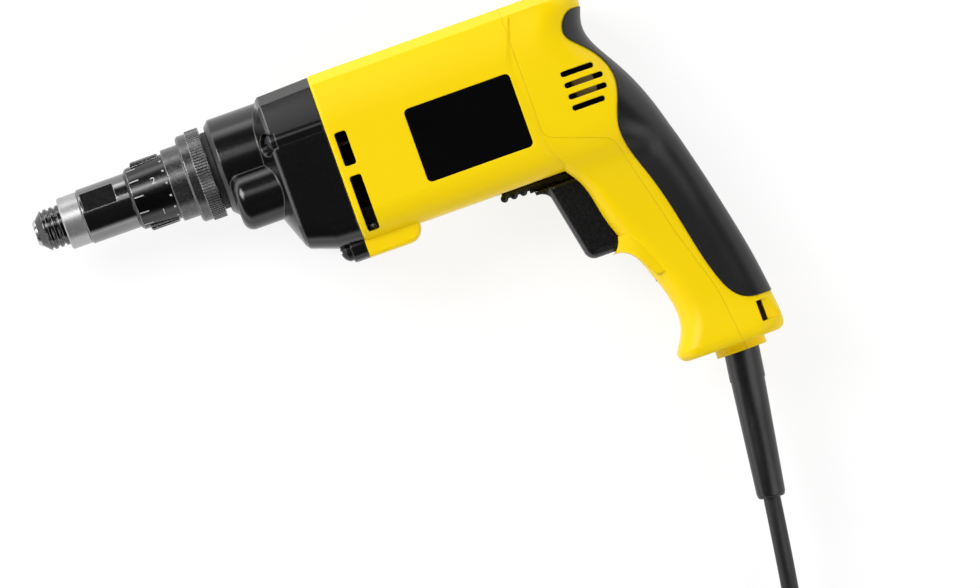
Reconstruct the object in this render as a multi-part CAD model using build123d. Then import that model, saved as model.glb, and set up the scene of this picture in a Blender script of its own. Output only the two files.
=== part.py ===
from build123d import *
import math
import os

# A corded screwgun that lies on its right side, in millimetres.
# X runs back along the spindle from the mouth of the bit socket, Y points to the tool's top
# and Z to its left side, which is up as the tool lies.

# Fits and walls
RUN_GAP = 0.05
FREE_GAP = 0.4
WALL = 3.0
GEAR_CASE_WALL = 2.8
GRIP_DEPTH = 1.4
GRIP_PROUD = 0.5
FAR = 400.0

# Spindle and bit socket
SPINDLE_RADIUS = 5.6
SPINDLE_END_RADIUS = 4.0
SPINDLE_END = 124.0
SPINDLE_TRAVEL = 2.5
SOCKET_ACROSS_FLATS = 6.4
SOCKET_DEPTH = 16.0
BALL_RADIUS = 1.25
BALL_X = 9.0
SPINDLE_COLLAR_RADIUS = 7.2
SPINDLE_COLLAR_X = 16.0
SPINDLE_COLLAR_WIDTH = 2.5

# Release sleeve at the tip
TIP_RADIUS = 9.6
TIP_MOUTH_RADIUS = 6.3
TIP_FRONT = 1.6
TIP_REAR = 15.0
TIP_CONE = 3.2
TIP_SHOULDER_X = 5.6
TIP_CAVITY_RADIUS = 7.7
TIP_RIBS = 3
TIP_RIB_DEPTH = 0.9
TIP_TRAVEL = 3.4
CLIP_THICKNESS = 0.8
RELEASE_WIRE = 0.6
RELEASE_TURNS = 4

# Nose barrel, which goes on as a tube through the adjuster
BARREL_FRONT = 14.0
BAND_END = 23.7
BAND_RADIUS = 12.3
BAND_SEAT_RADIUS = 11.0
BARREL_RADIUS = 13.1
FLAT_DISTANCE = 12.1
FLAT_FRONT = 25.0
FLAT_REAR = 41.0
TUBE_RADIUS = 12.0
TUBE_BORE = 10.0
TUBE_REAR = 100.0
NOSE_BUSH_X = 24.5
NOSE_BUSH_LENGTH = 9.5
NOSE_BUSH_RADIUS = 8.8

# Adjuster
SCALE_FRONT = 47.0
SCALE_REAR = 66.5
SCALE_RADIUS = 14.7
SCALE_REAR_RADIUS = 15.6
SCALE_RIB_RADIUS = 16.5
SCALE_RIB_STEP = 14.0
SCALE_RIB_WIDTH = 2.4
HUB_RADIUS = 17.2
HUB_REAR = 74.7
FLANGE_RADIUS = 20.7
FLANGE_REAR = 79.8
KNURL_RADIUS = 21.5
KNURL_DEPTH = 0.4
KNURL_COUNT = 96
RING_REAR = 86.1
SEAL_RADIUS = 18.4
NUT_LENGTH = 6.0
NUT_X = 68.0
NUT_LUG_WIDTH = 4.6
NUT_LUG_RADIUS = 13.3
ADJUST_PITCH = 3.0
ADJUST_TURN = 300.0
CLUTCH_WIRE = 1.6
CLUTCH_TURNS = 5

# Gear train
MOTOR_DROP = 14.25
PRESSURE_ANGLE = 20.0
ADDENDUM = 0.85
DEDENDUM = 1.15
BACKLASH = 0.14
FAST_MODULE = 0.7
FAST_SHIFT = 0.3
MOTOR_TEETH = 9
IDLER_TEETH = 39
SLOW_MODULE = 1.0
SLOW_SHIFT = 0.2
IDLER_PINION_TEETH = 14
DRIVE_TEETH = 35
SLOW_GEAR_X = 104.5
SLOW_GEAR_WIDTH = 8.0
FAST_GEAR_X = 118.0
FAST_GEAR_WIDTH = 7.0
IDLER_SHAFT_RADIUS = 3.0
IDLER_BUSH_RADIUS = 5.0
IDLER_BUSH_LENGTH = 6.0
DISC_X = 95.5
DISC_WIDTH = 3.0
DISC_RADIUS = 9.6
DOG_HEIGHT = 1.7
DOG_COUNT = 3
DOG_RADIUS = 9.0
DOG_INNER_RADIUS = 6.6
WASHER_WIDTH = 1.2
REAR_BUSH_RADIUS = 6.0
SPINDLE_BOSS_RADIUS = 8.2

# Gear case
CASE_FRONT = 89.0
CASE_RADIUS = 23.2
CASE_CHAMFER = 2.6
GEAR_ROOM_RADIUS = 20.0
BUMP_FRONT = 92.2
BUMP_RADIUS = 13.8
BUMP_ROUND = 5.0
CASE_HALF = 34.0
CASE_SIDE_TOP = -4.0
CASE_SHOULDER_X = 116.5
CASE_SHOULDER_TOP = 24.6
CASE_SHOULDER_BOTTOM = -48.8
CASE_FLOOR = 4.8
SEAT_ROUND = 12.0
JOINT_X = 141.8
PLATE_X = 128.0
PLATE_THICKNESS = 9.0
SIDE_SCREW_Y = 2.3
SIDE_SCREW_Z = CASE_HALF - 4.6
SIDE_BOSS_RADIUS = 5.3
SIDE_HEAD_FRONT = 113.8
FOOT_SCREW_Y = -55.4
FOOT_SCREW_Z = 17.0
FOOT_BOSS_RADIUS = 6.2
FOOT_HEAD_FRONT = 129.5
SCREW_HEAD_RADIUS = 4.8
SCREW_HEAD_HEIGHT = 5.0
SCREW_DOME_RADIUS = 5.6
SCREW_RADIUS = 2.4
SCREW_END = 160.0
CROSS_HALF = 0.6
CROSS_REACH = 2.8
CROSS_DEPTH = 2.2

# Motor housing
HOUSING_HALF = 35.0
HOUSING_TOP = 25.8
HOUSING_BOTTOM = -54.3
FACET_DROP = 4.6
FACET_INSET = 9.5
LEAN = 3.5
SIDE_TOP = 1.0
BOTTOM_ROUND = 14.0
BARREL_END = 241.5
SHOULDER_ROUND = 12.0
BOSS_BULGE_END = 163.0
FOOT_BOTTOM = -61.6
FOOT_HALF = 25.0
FOOT_FLAT_END = 161.7
FOOT_END = 168.1
FOOT_SWEEP = (166.4, -59.3)
FOOT_EDGE = 1.5
FRONT_EDGE = 1.2
FRONT_VENT_X = 144.9
FRONT_VENT_WIDTH = 5.6
FRONT_VENTS = [(-19.3, -3.2), (-50.6, -24.2)]
VENT_CORNER = 1.2
PLATE_FRONT = 178.3
PLATE_LENGTH = 51.0
PLATE_TOP = -3.7
PLATE_HEIGHT = 35.2
PLATE_DEPTH = 0.5
PLATE_CORNER = 2.3
SEAM_X = 234.8
SEAM_CORNERS = [(SEAM_X, -37.0), (264.5, -47.5), (277.4, -98.0), (286.8, -129.0)]
SEAM_BENDS = [5.0, 8.0, 80.0, 60.0]
SEAM_RUN = 30.0
REAR_VENT_X = 251.4
REAR_VENT_TOP = -11.5
REAR_VENT_PITCH = 5.4
REAR_VENT_HEIGHT = 2.6
REAR_VENT_LENGTHS = [15.6, 18.4, 18.4, 15.6]

# Flare of the gear case: place, top, bottom, half width and lower rounding
CASE_ROWS = [
    (110.2, 14.0, -32.4, 23.0, 10.0),
    (CASE_SHOULDER_X - 0.7, CASE_SHOULDER_TOP - 1.2, CASE_SHOULDER_BOTTOM + 1.8, CASE_HALF - 1.2, 11.6),
    (CASE_SHOULDER_X + 0.7, CASE_SHOULDER_TOP, CASE_SHOULDER_BOTTOM, CASE_HALF, 12.0),
    (130.0, 25.0, -53.2, CASE_HALF, 13.0),
    (JOINT_X, 25.4, HOUSING_BOTTOM, CASE_HALF, BOTTOM_ROUND),
]

# Handle: level, front, back, half width, rounding at the front and at the back
SHOULDER_ROWS = [
    (14.3, 218.0, 270.3, HOUSING_HALF - 2.2, 2.0, 21.0),
    (2.8, 218.0, 268.2, HOUSING_HALF - 0.5, 2.0, 22.0),
    (-9.2, 218.0, 273.4, HOUSING_HALF - 0.2, 2.0, 23.0),
    (-20.2, 219.0, 279.8, HOUSING_HALF - 0.5, 2.0, 24.0),
    (-32.0, 223.0, 285.1, HOUSING_HALF - 1.0, 2.0, 23.0),
    (-44.0, 231.0, 289.1, HOUSING_HALF - 2.0, 3.0, 21.0),
    (-56.0, 240.0, 292.7, HOUSING_HALF - 9.0, 5.0, 17.0),
    (-68.1, 246.0, 295.9, HOUSING_HALF - 13.0, 8.0, 14.0),
    (-86.5, 250.3, 300.4, HOUSING_HALF - 15.4, 10.0, 14.0),
    (-107.6, 258.9, 305.0, HOUSING_HALF - 16.0, 11.0, 14.0),
    (-123.3, 264.2, 307.8, HOUSING_HALF - 16.0, 11.0, 14.0),
    (-137.0, 265.7, 309.6, HOUSING_HALF - 15.5, 11.0, 13.0),
]
BASE_ROW = (-145.0, 263.0, 310.5, HOUSING_HALF - 14.6, 11.0, 12.0)
TOE_ROW = (-151.0, 259.4, 310.7, HOUSING_HALF - 14.0, 11.0, 12.0)
HEEL_ROW = (-154.2, 260.6, 309.6, HOUSING_HALF - 14.9, 10.5, 11.5)
SOLE_ROW = (-155.5, 262.9, 307.3, HOUSING_HALF - 16.8, 10.0, 11.0)
COLLAR_X = 288.2
COLLAR_RADIUS = 12.0
COLLAR_BOTTOM = -159.2
CHIN_TIP = (247.1, -98.1)
CHIN_TOP = (251.6, -90.8)
CHIN_UNDER = [(253.0, -99.2), (257.8, -104.2), (262.6, -113.0)]
CHIN_INSET = 1.8
CHIN_ROUND = 13.0
COVER_SCREW_Y = -113.0
COVER_SCREW_RADIUS = 2.0
COVER_SCREW_LENGTH = 34.0
COVER_HEAD_RADIUS = 3.2
COVER_HEAD_HEIGHT = 2.4
COVER_SEAT_X = 264.0
COVER_BOSS_RADIUS = 5.0
HANG_SLOT = (301.1, 303.6, -149.5, -139.8)
HANG_RECESS = [(HANG_SLOT[1], BASE_ROW[3] - 3.2), (309.2, BASE_ROW[3] - 6.2)]
HANG_FLOOR = 4.0

# Front edge of the rubber skin, from the top down
GRIP_EDGE = [
    (266.0, 14.4), (260.6, 10.2), (259.1, 4.6), (263.8, -1.8), (272.6, -13.0), (274.5, -22.5),
    (268.7, -42.5), (274.2, -68.0), (282.2, -99.4), (288.0, -122.5), (294.0, -133.6), (303.4, -137.2),
]

# Motor
SHAFT_RADIUS = 4.5
BEARING_RADIUS = 9.5
BEARING_WIDTH = 6.0
FRONT_BEARING_BORE = 3.5
REAR_BEARING_BORE = 3.0
REAR_BEARING_X = 252.0
CORE_X = 182.0
CORE_LENGTH = 38.0
CORE_RADIUS = 16.9
CORE_SLOTS = 12
WINDING_LENGTH = 8.0
AIR_GAP = 0.7
FIELD_RADIUS = 29.5
YOKE_RADIUS = 25.0
COIL_SPAN = 37.0
COMMUTATOR_X = 233.0
COMMUTATOR_LENGTH = 12.0
COMMUTATOR_RADIUS = 9.5
BRUSH_WIDTH = 6.0
BRUSH_LENGTH = 13.0
HOLDER_WALL = 1.2
FAN_X = 143.6
FAN_LENGTH = 9.0
FAN_RADIUS = 26.0
FAN_BLADES = 14
BAFFLE_X = 155.0
BAFFLE_THICKNESS = 2.0
BAFFLE_HOLE = 21.0
BRACKET_X = 224.6
BRACKET_THICKNESS = 3.0
BRACKET_HOLE = 22.0
GUARD_BACK = [(264.0, -4.0), (270.5, -14.0), (275.0, -36.0)]
GUARD_HALF = 1.0

# Reverse lever
LEVER_FRONT = 206.8
LEVER_PIVOT_X = 234.0
LEVER_TAIL = 246.0
LEVER_TOP = -54.7
LEVER_DEPTH = 4.0
LEVER_ARM_DEPTH = 2.6
LEVER_HUB_RADIUS = 5.0
LEVER_TIP_HALF = 4.0
LEVER_WAIST_HALF = 3.0
LEVER_PADS = 3
LEVER_PAD_RADIUS = 1.8
LEVER_PAD_STEP = 4.6
LEVER_PAD_WIDTH = 9.0
LEVER_PIN_RADIUS = 2.4
SLIDE_GAP = 0.2

# Trigger and switch
TRIGGER_HALF = 10.5
TRIGGER_TRAVEL = 7.0
TRIGGER_TOP = (228.0, LEVER_TOP - LEVER_DEPTH - SLIDE_GAP)
TRIGGER_FOOT = (235.7, -96.8)
TRIGGER_BACK = 253.0
TRIGGER_FOOT_BEND = 5.0
TRIGGER_EDGE = 4.0
HORN_TIP_X = 222.6
HORN_THICKNESS = 1.6
HORN_CURVE = (227.0, -61.4)
HORN_ROOT = (229.2, -64.0)
HORN_HALF = 7.5
PLUNGER_RADIUS = 2.5
PLUNGER_LENGTH = 20.0
SWITCH_BOX = (265.0, 287.0, -92.0, -60.0)
SWITCH_HALF = 11.0

# Cord set
FLOOR_Z = -HOUSING_HALF
CORD_DIAMETER = 8.0
PROTECTOR_TILT = 8.0
PROTECTOR_NECK = 8.3
PROTECTOR_STEP = 13.8
PROTECTOR_LENGTH = 69.0
PROTECTOR_END = 6.6
PROTECTOR_FLANGE = 10.6
CLAMP_Y = -144.0
CLAMP_WIDTH = 6.0
CLAMP_SPAN = 19.0
CLAMP_POST_HALF = 2.4
CLAMP_SEAT = 2.0
CLAMP_TOP = 7.0
CLAMP_SCREW_LENGTH = 14.0
TIE_THICKNESS = 1.0
TIE_WIDTH = 14.0
COIL_TURNS = 4
COIL_INNER = 26.8
COIL_PITCH = 8.6
CORD_EXIT_RUN = 24.0
CORD_DROP = [(271.6, -276.0, -12.0), (267.8, -301.0, -25.0)]
COIL_ENTRY = (265.0, -346.0)
COIL_ENTRY_RUN = 21.0
PLUG_LEAD = 34.0
PLUG_LENGTH = 42.0
PLUG_HALF_WIDTH = 12.0
PIN_GAP = 12.7
PIN_WIDTH = 6.3
PIN_THICKNESS = 1.5
PIN_LENGTH = 17.5

# Axes and places that follow from the values above
MOTOR = (-MOTOR_DROP, 0.0)
FAST_DISTANCE = FAST_MODULE * (MOTOR_TEETH + IDLER_TEETH) / 2
SLOW_DISTANCE = SLOW_MODULE * (IDLER_PINION_TEETH + DRIVE_TEETH) / 2
IDLER_Y = -(SLOW_DISTANCE**2 - FAST_DISTANCE**2 + MOTOR_DROP**2) / (2 * MOTOR_DROP)
IDLER = (IDLER_Y, math.sqrt(SLOW_DISTANCE**2 - IDLER_Y**2))
FAST_ANGLE = math.degrees(math.atan2(IDLER[1], IDLER[0] - MOTOR[0]))
SLOW_ANGLE = math.degrees(math.atan2(-IDLER[1], -IDLER[0]))
CREASE_HALF = HOUSING_HALF - LEAN
TOP_HALF = CREASE_HALF - FACET_INSET
TOP_ROW = (HOUSING_TOP, 218.0, 262.0, TOP_HALF, 2.0, 14.0)
CREASE_ROW = (HOUSING_TOP - FACET_DROP, 218.0, 268.8, CREASE_HALF, 2.0, 20.0)
CORD_RADIUS = CORD_DIAMETER / 2
CLAMP_X = COLLAR_X + 2.0
COIL_Z = FLOOR_Z + TIE_THICKNESS + 0.2 + CORD_RADIUS
PROTECTOR_PLACE = Pos(COLLAR_X - 0.2, COLLAR_BOTTOM, 0) * Rot(0, 0, -PROTECTOR_TILT)


def rod(x0, x1, radius, at=(0.0, 0.0)):
    """A round bar along X."""
    return extrude(Plane.YZ.offset(x0) * Pos(*at) * Circle(radius), x1 - x0)


def pipe(x0, x1, outer, inner, at=(0.0, 0.0)):
    """A round tube along X."""
    return rod(x0, x1, outer, at) - rod(x0, x1, inner, at)


def turned(points, at=(0.0, 0.0)):
    """A turned piece: its profile (x, radius) goes round an axis along X."""
    profile = make_face(Polyline(*points, close=True))
    return Pos(0, *at) * revolve(profile, Axis.X)


def block(x0, x1, y0, y1, z0, z1):
    """A box between corners."""
    middle = Pos((x0 + x1) / 2, (y0 + y1) / 2, (z0 + z1) / 2)
    return middle * Box(abs(x1 - x0), abs(y1 - y0), abs(z1 - z0))


def prism(edges, half):
    """A side outline in XY, as thick on the left as on the right."""
    return extrude(make_face(edges), half, both=True)


def both_sides(shape):
    """A piece and its mirror image on the tool's other side."""
    return [shape, mirror(shape, Plane.XY)]


def gear(teeth, module, shift, x0, width, angle, at=(0.0, 0.0)):
    """A spur gear of involute teeth, with one tooth's middle at the angle from Y towards Z."""
    pitch = module * teeth / 2
    base = pitch * math.cos(math.radians(PRESSURE_ANGLE))
    tip = pitch + module * (ADDENDUM + shift)
    root = pitch - module * (DEDENDUM - shift)

    def involute(pressure):
        return math.tan(pressure) - pressure

    alpha = math.radians(PRESSURE_ANGLE)
    at_pitch = (math.pi / 2 + 2 * shift * math.tan(alpha)) / teeth - BACKLASH / 2 / pitch

    def half_tooth(radius):
        return at_pitch + involute(alpha) - involute(math.acos(base / radius))

    def spot(radius, turn):
        return (radius * math.cos(turn), radius * math.sin(turn))

    start = max(base, root) * 1.0001
    middle = (start + tip) / 2
    edges = []
    for number in range(teeth):
        centre = math.radians(angle) + 2 * math.pi * number / teeth
        low, high = half_tooth(start), half_tooth(tip)
        waist = half_tooth(middle)
        following = centre + 2 * math.pi / teeth
        edges += [
            Line(spot(root, centre - low), spot(start, centre - low)),
            ThreePointArc(spot(start, centre - low), spot(middle, centre - waist), spot(tip, centre - high)),
            ThreePointArc(spot(tip, centre - high), spot(tip, centre), spot(tip, centre + high)),
            ThreePointArc(spot(tip, centre + high), spot(middle, centre + waist), spot(start, centre + low)),
            Line(spot(start, centre + low), spot(root, centre + low)),
            ThreePointArc(
                spot(root, centre + low),
                spot(root, (centre + following) / 2),
                spot(root, following - low),
            ),
        ]
    return extrude(Plane.YZ.offset(x0) * Pos(*at) * make_face(edges), width)


def wound_tube(stations, section, lead_in=0.0, lead_out=0.0):
    """A wire wound about Z through half turns between stations (signed radius, height).

    The ends run straight for the lengths of the leads.
    """
    edges = []
    way = -1
    for (r0, z0), (r1, z1) in zip(stations, stations[1:]):
        reach = math.hypot(r1 - r0, z1 - z0) / 2
        crown = ((r0 + r1) / 2, way * reach, (z0 + z1) / 2)
        edges.append(ThreePointArc((r0, 0, z0), crown, (r1, 0, z1)))
        way = -way
    first, last = stations[0], stations[-1]
    if lead_in:
        edges.insert(0, Line((first[0], lead_in, first[1]), (first[0], 0, first[1])))
    if lead_out:
        edges.append(Line((last[0], 0, last[1]), (last[0], way * lead_out, last[1])))
    path = Wire(edges)
    return sweep(Plane(path @ 0, z_dir=path % 0) * section, path), path


def spring(radius, wire, length, turns):
    """A coil spring that stands on the origin along Z, of six-sided wire to keep it light."""
    climb = (length - wire) / (2 * turns)
    stations = [(radius * (-1) ** n, wire / 2 + climb * n) for n in range(2 * turns + 1)]
    return wound_tube(stations, RegularPolygon(wire / 2, 6))[0]


def spring_along_x(radius, wire, x0, x1, turns):
    """A coil spring round the X axis."""
    return Pos(x0, 0, 0) * Rot(0, 90, 0) * spring(radius, wire, x1 - x0, turns)


def body_section(x, top, bottom, half, side_top, corner):
    """The closed outline across the body: a narrow top, bowed shoulders and flat sides."""
    crease, crease_half = top - FACET_DROP, half - LEAN
    top_half = crease_half - FACET_INSET
    rise = crease - side_top
    bow = (rise**2 + LEAN**2) / (2 * LEAN)
    waist = (side_top + rise / 2, half - bow + math.sqrt(bow**2 - rise**2 / 4))
    bend = corner * (1 - math.sqrt(0.5))
    low = bottom + corner
    edges = [
        Line((low, -half), (side_top, -half)),
        ThreePointArc((side_top, -half), (waist[0], -waist[1]), (crease, -crease_half)),
        Polyline((crease, -crease_half), (top, -top_half), (top, top_half), (crease, crease_half)),
        ThreePointArc((crease, crease_half), waist, (side_top, half)),
        Line((side_top, half), (low, half)),
        ThreePointArc((low, half), (bottom + bend, half - bend), (bottom, half - corner)),
        Line((bottom, half - corner), (bottom, corner - half)),
        ThreePointArc((bottom, corner - half), (bottom + bend, bend - half), (low, -half)),
    ]
    return Plane.YZ.offset(x) * make_face(edges)


def plan_section(row, grow, lift):
    """A level slice of the handle: a long rounded outline in X and Z."""
    level, front, back, half, front_round, rear_round = row
    a, b, h = front - grow, back + grow, half + grow
    f, r = max(front_round + grow, 0.5), rear_round + grow
    edges = [
        Line((a, f - h), (a, h - f)),
        CenterArc((a + f, h - f), f, 180, -90),
        Line((a + f, h), (b - r, h)),
        CenterArc((b - r, h - r), r, 90, -90),
        Line((b, h - r), (b, r - h)),
        CenterArc((b - r, r - h), r, 0, -90),
        Line((b - r, -h), (a + f, -h)),
        CenterArc((a + f, f - h), f, -90, -90),
    ]
    return Plane((0, level + lift, 0), x_dir=(1, 0, 0), z_dir=(0, -1, 0)) * make_face(edges)


def body_form(grow, front):
    """The tool's body and handle as one solid, grown or shrunk for skins and hollows."""
    across = body_section(front, HOUSING_TOP + grow, HOUSING_BOTTOM - grow, HOUSING_HALF + grow,
                          SIDE_TOP, BOTTOM_ROUND + grow)
    form = extrude(across, BARREL_END + grow - front)
    ahead = front - 2 * SHOULDER_ROUND
    plan = plan_section((FAR, ahead, BARREL_END, HOUSING_HALF, SHOULDER_ROUND, SHOULDER_ROUND), grow, 0)
    form &= extrude(plan, 2 * FAR)
    crease = plan_section(CREASE_ROW, grow, grow)
    form += loft([plan_section(TOP_ROW, grow, grow), crease], ruled=True)
    toe = plan_section(TOE_ROW, grow, -grow)
    form += loft([crease] + [plan_section(row, grow, 0) for row in SHOULDER_ROWS + [BASE_ROW]] + [toe])
    form += loft([toe] + [plan_section(row, grow, -grow) for row in (HEEL_ROW, SOLE_ROW)])
    return form


def cover_zone():
    """All that lies behind the seam, seen from the side."""
    low = (SEAM_CORNERS[-1][0] + SEAM_RUN, -FAR)
    seam = FilletPolyline((SEAM_X, FAR), *SEAM_CORNERS, low, radius=SEAM_BENDS)
    outline = Polyline(seam @ 1, (FAR, -FAR), (FAR, FAR), seam @ 0)
    return prism([seam, outline], FAR)


def grip_zone():
    """All that lies behind the front edge of the rubber skin, seen from the side."""
    edge = Spline(*GRIP_EDGE)
    top, low = edge @ 0, edge @ 1
    outline = Polyline(low, (FAR, low.Y - 1), (FAR, top.Y + 1), top)
    return prism([edge, outline], FAR)


def foot():
    """The step under the front of the housing that takes the lower screws."""
    sweep_up = ThreePointArc((FOOT_FLAT_END, FOOT_BOTTOM), FOOT_SWEEP, (FOOT_END, HOUSING_BOTTOM))
    rest = Polyline(
        (FOOT_END, HOUSING_BOTTOM),
        (FOOT_END, HOUSING_BOTTOM + WALL),
        (JOINT_X, HOUSING_BOTTOM + WALL),
        (JOINT_X, FOOT_BOTTOM),
        (FOOT_FLAT_END, FOOT_BOTTOM),
    )
    block_form = prism([sweep_up, rest], FOOT_HALF)
    low_edges = block_form.edges().filter_by(Axis.X).group_by(Axis.Y)[0]
    return fillet(low_edges, FOOT_EDGE)


def chin():
    """The lip under the trigger, rounded in plan as the handle is."""
    under = Spline(CHIN_TIP, *CHIN_UNDER)
    upper = Spline(CHIN_TOP, (250.5, -94.4), CHIN_TIP)
    low = under @ 1
    rest = Polyline(low, (low.X + WALL * 4, low.Y), (low.X + WALL * 4, CHIN_TOP[1]), CHIN_TOP)
    level, _, back, half, _, rear_round = SHOULDER_ROWS[8]
    plan = plan_section((level, CHIN_TIP[0], back, half - CHIN_INSET, CHIN_ROUND, rear_round), 0, 0)
    return prism([upper, under, rest], FAR) & extrude(plan, level - low.Y)


def trigger_room():
    """The slot that the trigger slides in and the lever's tail swings in."""
    gap = FREE_GAP + 0.2
    half = TRIGGER_HALF + FREE_GAP
    end = TRIGGER_BACK + TRIGGER_TRAVEL + 1
    top = (LEVER_TOP + HOUSING_BOTTOM) / 2
    return block(HORN_TIP_X, end, TRIGGER_FOOT[1] - gap, top, -half, half)


def vent(x, length, low, high):
    """An air slot with rounded corners, right through the body."""
    outline = Pos(x + length / 2, (low + high) / 2) * RectangleRounded(length, high - low, VENT_CORNER)
    return extrude(outline, FAR, both=True)


def shell_pieces():
    """The motor housing, the rear cover and the rubber skin, cut from one moulded form."""
    outer = body_form(0, JOINT_X)
    outer = fillet(outer.faces().sort_by(Axis.X)[0].edges(), FRONT_EDGE)
    hollow = body_form(-WALL, JOINT_X - WALL)
    zone = cover_zone()
    skin = (body_form(GRIP_PROUD, JOINT_X) - body_form(-GRIP_DEPTH, JOINT_X - WALL)) & grip_zone()
    collar = Pos(COLLAR_X, 0, 0) * Rot(90, 0, 0) * extrude(Circle(COLLAR_RADIUS), -COLLAR_BOTTOM)
    collar &= block(0, FAR, COLLAR_BOTTOM, SOLE_ROW[0] + WALL, -FAR, FAR)
    shell = outer + foot() + chin() + collar - hollow
    bulge = rod(JOINT_X, BOSS_BULGE_END, SIDE_BOSS_RADIUS, (SIDE_SCREW_Y, SIDE_SCREW_Z))
    bulge = chamfer(bulge.faces().sort_by(Axis.X)[-1].edges(), SIDE_BOSS_RADIUS - SCREW_RADIUS)
    shell += both_sides(bulge)
    shell -= trigger_room()
    shell -= protector()
    vents = [vent(FRONT_VENT_X, FRONT_VENT_WIDTH, low, high) for low, high in FRONT_VENTS]
    for number, length in enumerate(REAR_VENT_LENGTHS):
        top = REAR_VENT_TOP - number * REAR_VENT_PITCH
        vents.append(vent(REAR_VENT_X, length, top - REAR_VENT_HEIGHT, top))
    shell -= vents
    front, rear = shell - zone, (shell & zone) - skin
    front = finish_housing(front, hollow, zone)
    rear = finish_cover(rear, hollow, zone)
    return front, rear, skin


def cover_boss():
    """The boss of the screw in the front of the handle."""
    end = COVER_SEAT_X + COVER_SCREW_LENGTH + 2 * WALL
    return rod(COVER_SEAT_X - 3 * WALL, end, COVER_BOSS_RADIUS, (COVER_SCREW_Y, 0))


def cover_screw_hole():
    """The hole of the screw in the front of the handle."""
    return rod(BARREL_END, COVER_SEAT_X + COVER_SCREW_LENGTH + 1, COVER_SCREW_RADIUS, (COVER_SCREW_Y, 0))


def clamp_post(x):
    """A post for one end of the cord clamp."""
    half, deep = CLAMP_WIDTH / 2, CLAMP_POST_HALF
    return block(x - deep, x + deep, CLAMP_Y - half, CLAMP_Y + half, FLOOR_Z, CLAMP_SEAT)


def clamp_screw_places():
    """Where the cord clamp's screws stand."""
    reach = CLAMP_SPAN / 2 - CLAMP_POST_HALF
    return [CLAMP_X - reach, CLAMP_X + reach]


def finish_housing(shell, hollow, zone):
    """Seats, ribs and holes of the motor housing."""
    field_end = CORE_X + CORE_LENGTH
    room = rod(CORE_X - 20, field_end + 20, FIELD_RADIUS, MOTOR)
    seats = [block(x, x + 6, -80, 60, -FAR, FAR) for x in (CORE_X + 1, field_end - 7)]
    inside = [(hollow & seat) - room for seat in seats]
    x0, y0, y1 = SWITCH_BOX[0], SWITCH_BOX[2], SWITCH_BOX[3]
    ribs = block(x0 - 2, x0 + 4, y0, y1, SWITCH_HALF, FAR)
    inside += [hollow & rib for rib in both_sides(ribs)]
    inside += [hollow & cover_boss(), hollow & clamp_post(clamp_screw_places()[0])]
    shell += [piece - zone for piece in inside]
    shell -= [rod(JOINT_X, SCREW_END, SCREW_RADIUS, at) for at in screw_places()]
    shell -= rod(BARREL_END, COVER_SEAT_X, COVER_HEAD_RADIUS + 0.2, (COVER_SCREW_Y, 0))
    shell -= [cover_screw_hole(), clamp_screws()]
    pivot = extrude(Circle(LEVER_PIN_RADIUS + RUN_GAP), -LEVER_TOP)
    return shell - Pos(LEVER_PIVOT_X, 0, 0) * Rot(90, 0, 0) * pivot - name_plate()


def finish_cover(shell, hollow, zone):
    """Bosses and the hang slot of the rear cover."""
    x0, x1, y0, y1 = HANG_SLOT
    web = block(x0 - FREE_GAP, TOE_ROW[2], y0, y1, -HANG_FLOOR, HANG_FLOOR)
    inside = [hollow & cover_boss(), hollow & clamp_post(clamp_screw_places()[1]), hollow & web]
    shell += [piece & zone for piece in inside]
    shell -= [cover_screw_hole(), clamp_screws()]
    shell -= both_sides(block(x0, x1, y0, y1, HANG_FLOOR, FAR))
    ramp = Polyline(*HANG_RECESS, (HANG_RECESS[1][0], HOUSING_HALF), (x1, HOUSING_HALF), close=True)
    recess = Plane((0, y1, 0), x_dir=(1, 0, 0), z_dir=(0, -1, 0)) * make_face(ramp)
    return shell - both_sides(extrude(recess, y1 - y0))


def screw_places():
    """The four long screws that hold the gear case to the housing."""
    side = [(SIDE_SCREW_Y, z) for z in (SIDE_SCREW_Z, -SIDE_SCREW_Z)]
    return side + [(FOOT_SCREW_Y, z) for z in (FOOT_SCREW_Z, -FOOT_SCREW_Z)]


def name_plate():
    """The plate on the left side, let in flush."""
    centre = (PLATE_FRONT + PLATE_LENGTH / 2, PLATE_TOP - PLATE_HEIGHT / 2)
    outline = Pos(*centre) * RectangleRounded(PLATE_LENGTH, PLATE_HEIGHT, PLATE_CORNER)
    return Pos(0, 0, HOUSING_HALF - PLATE_DEPTH) * extrude(outline, PLATE_DEPTH)


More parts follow.
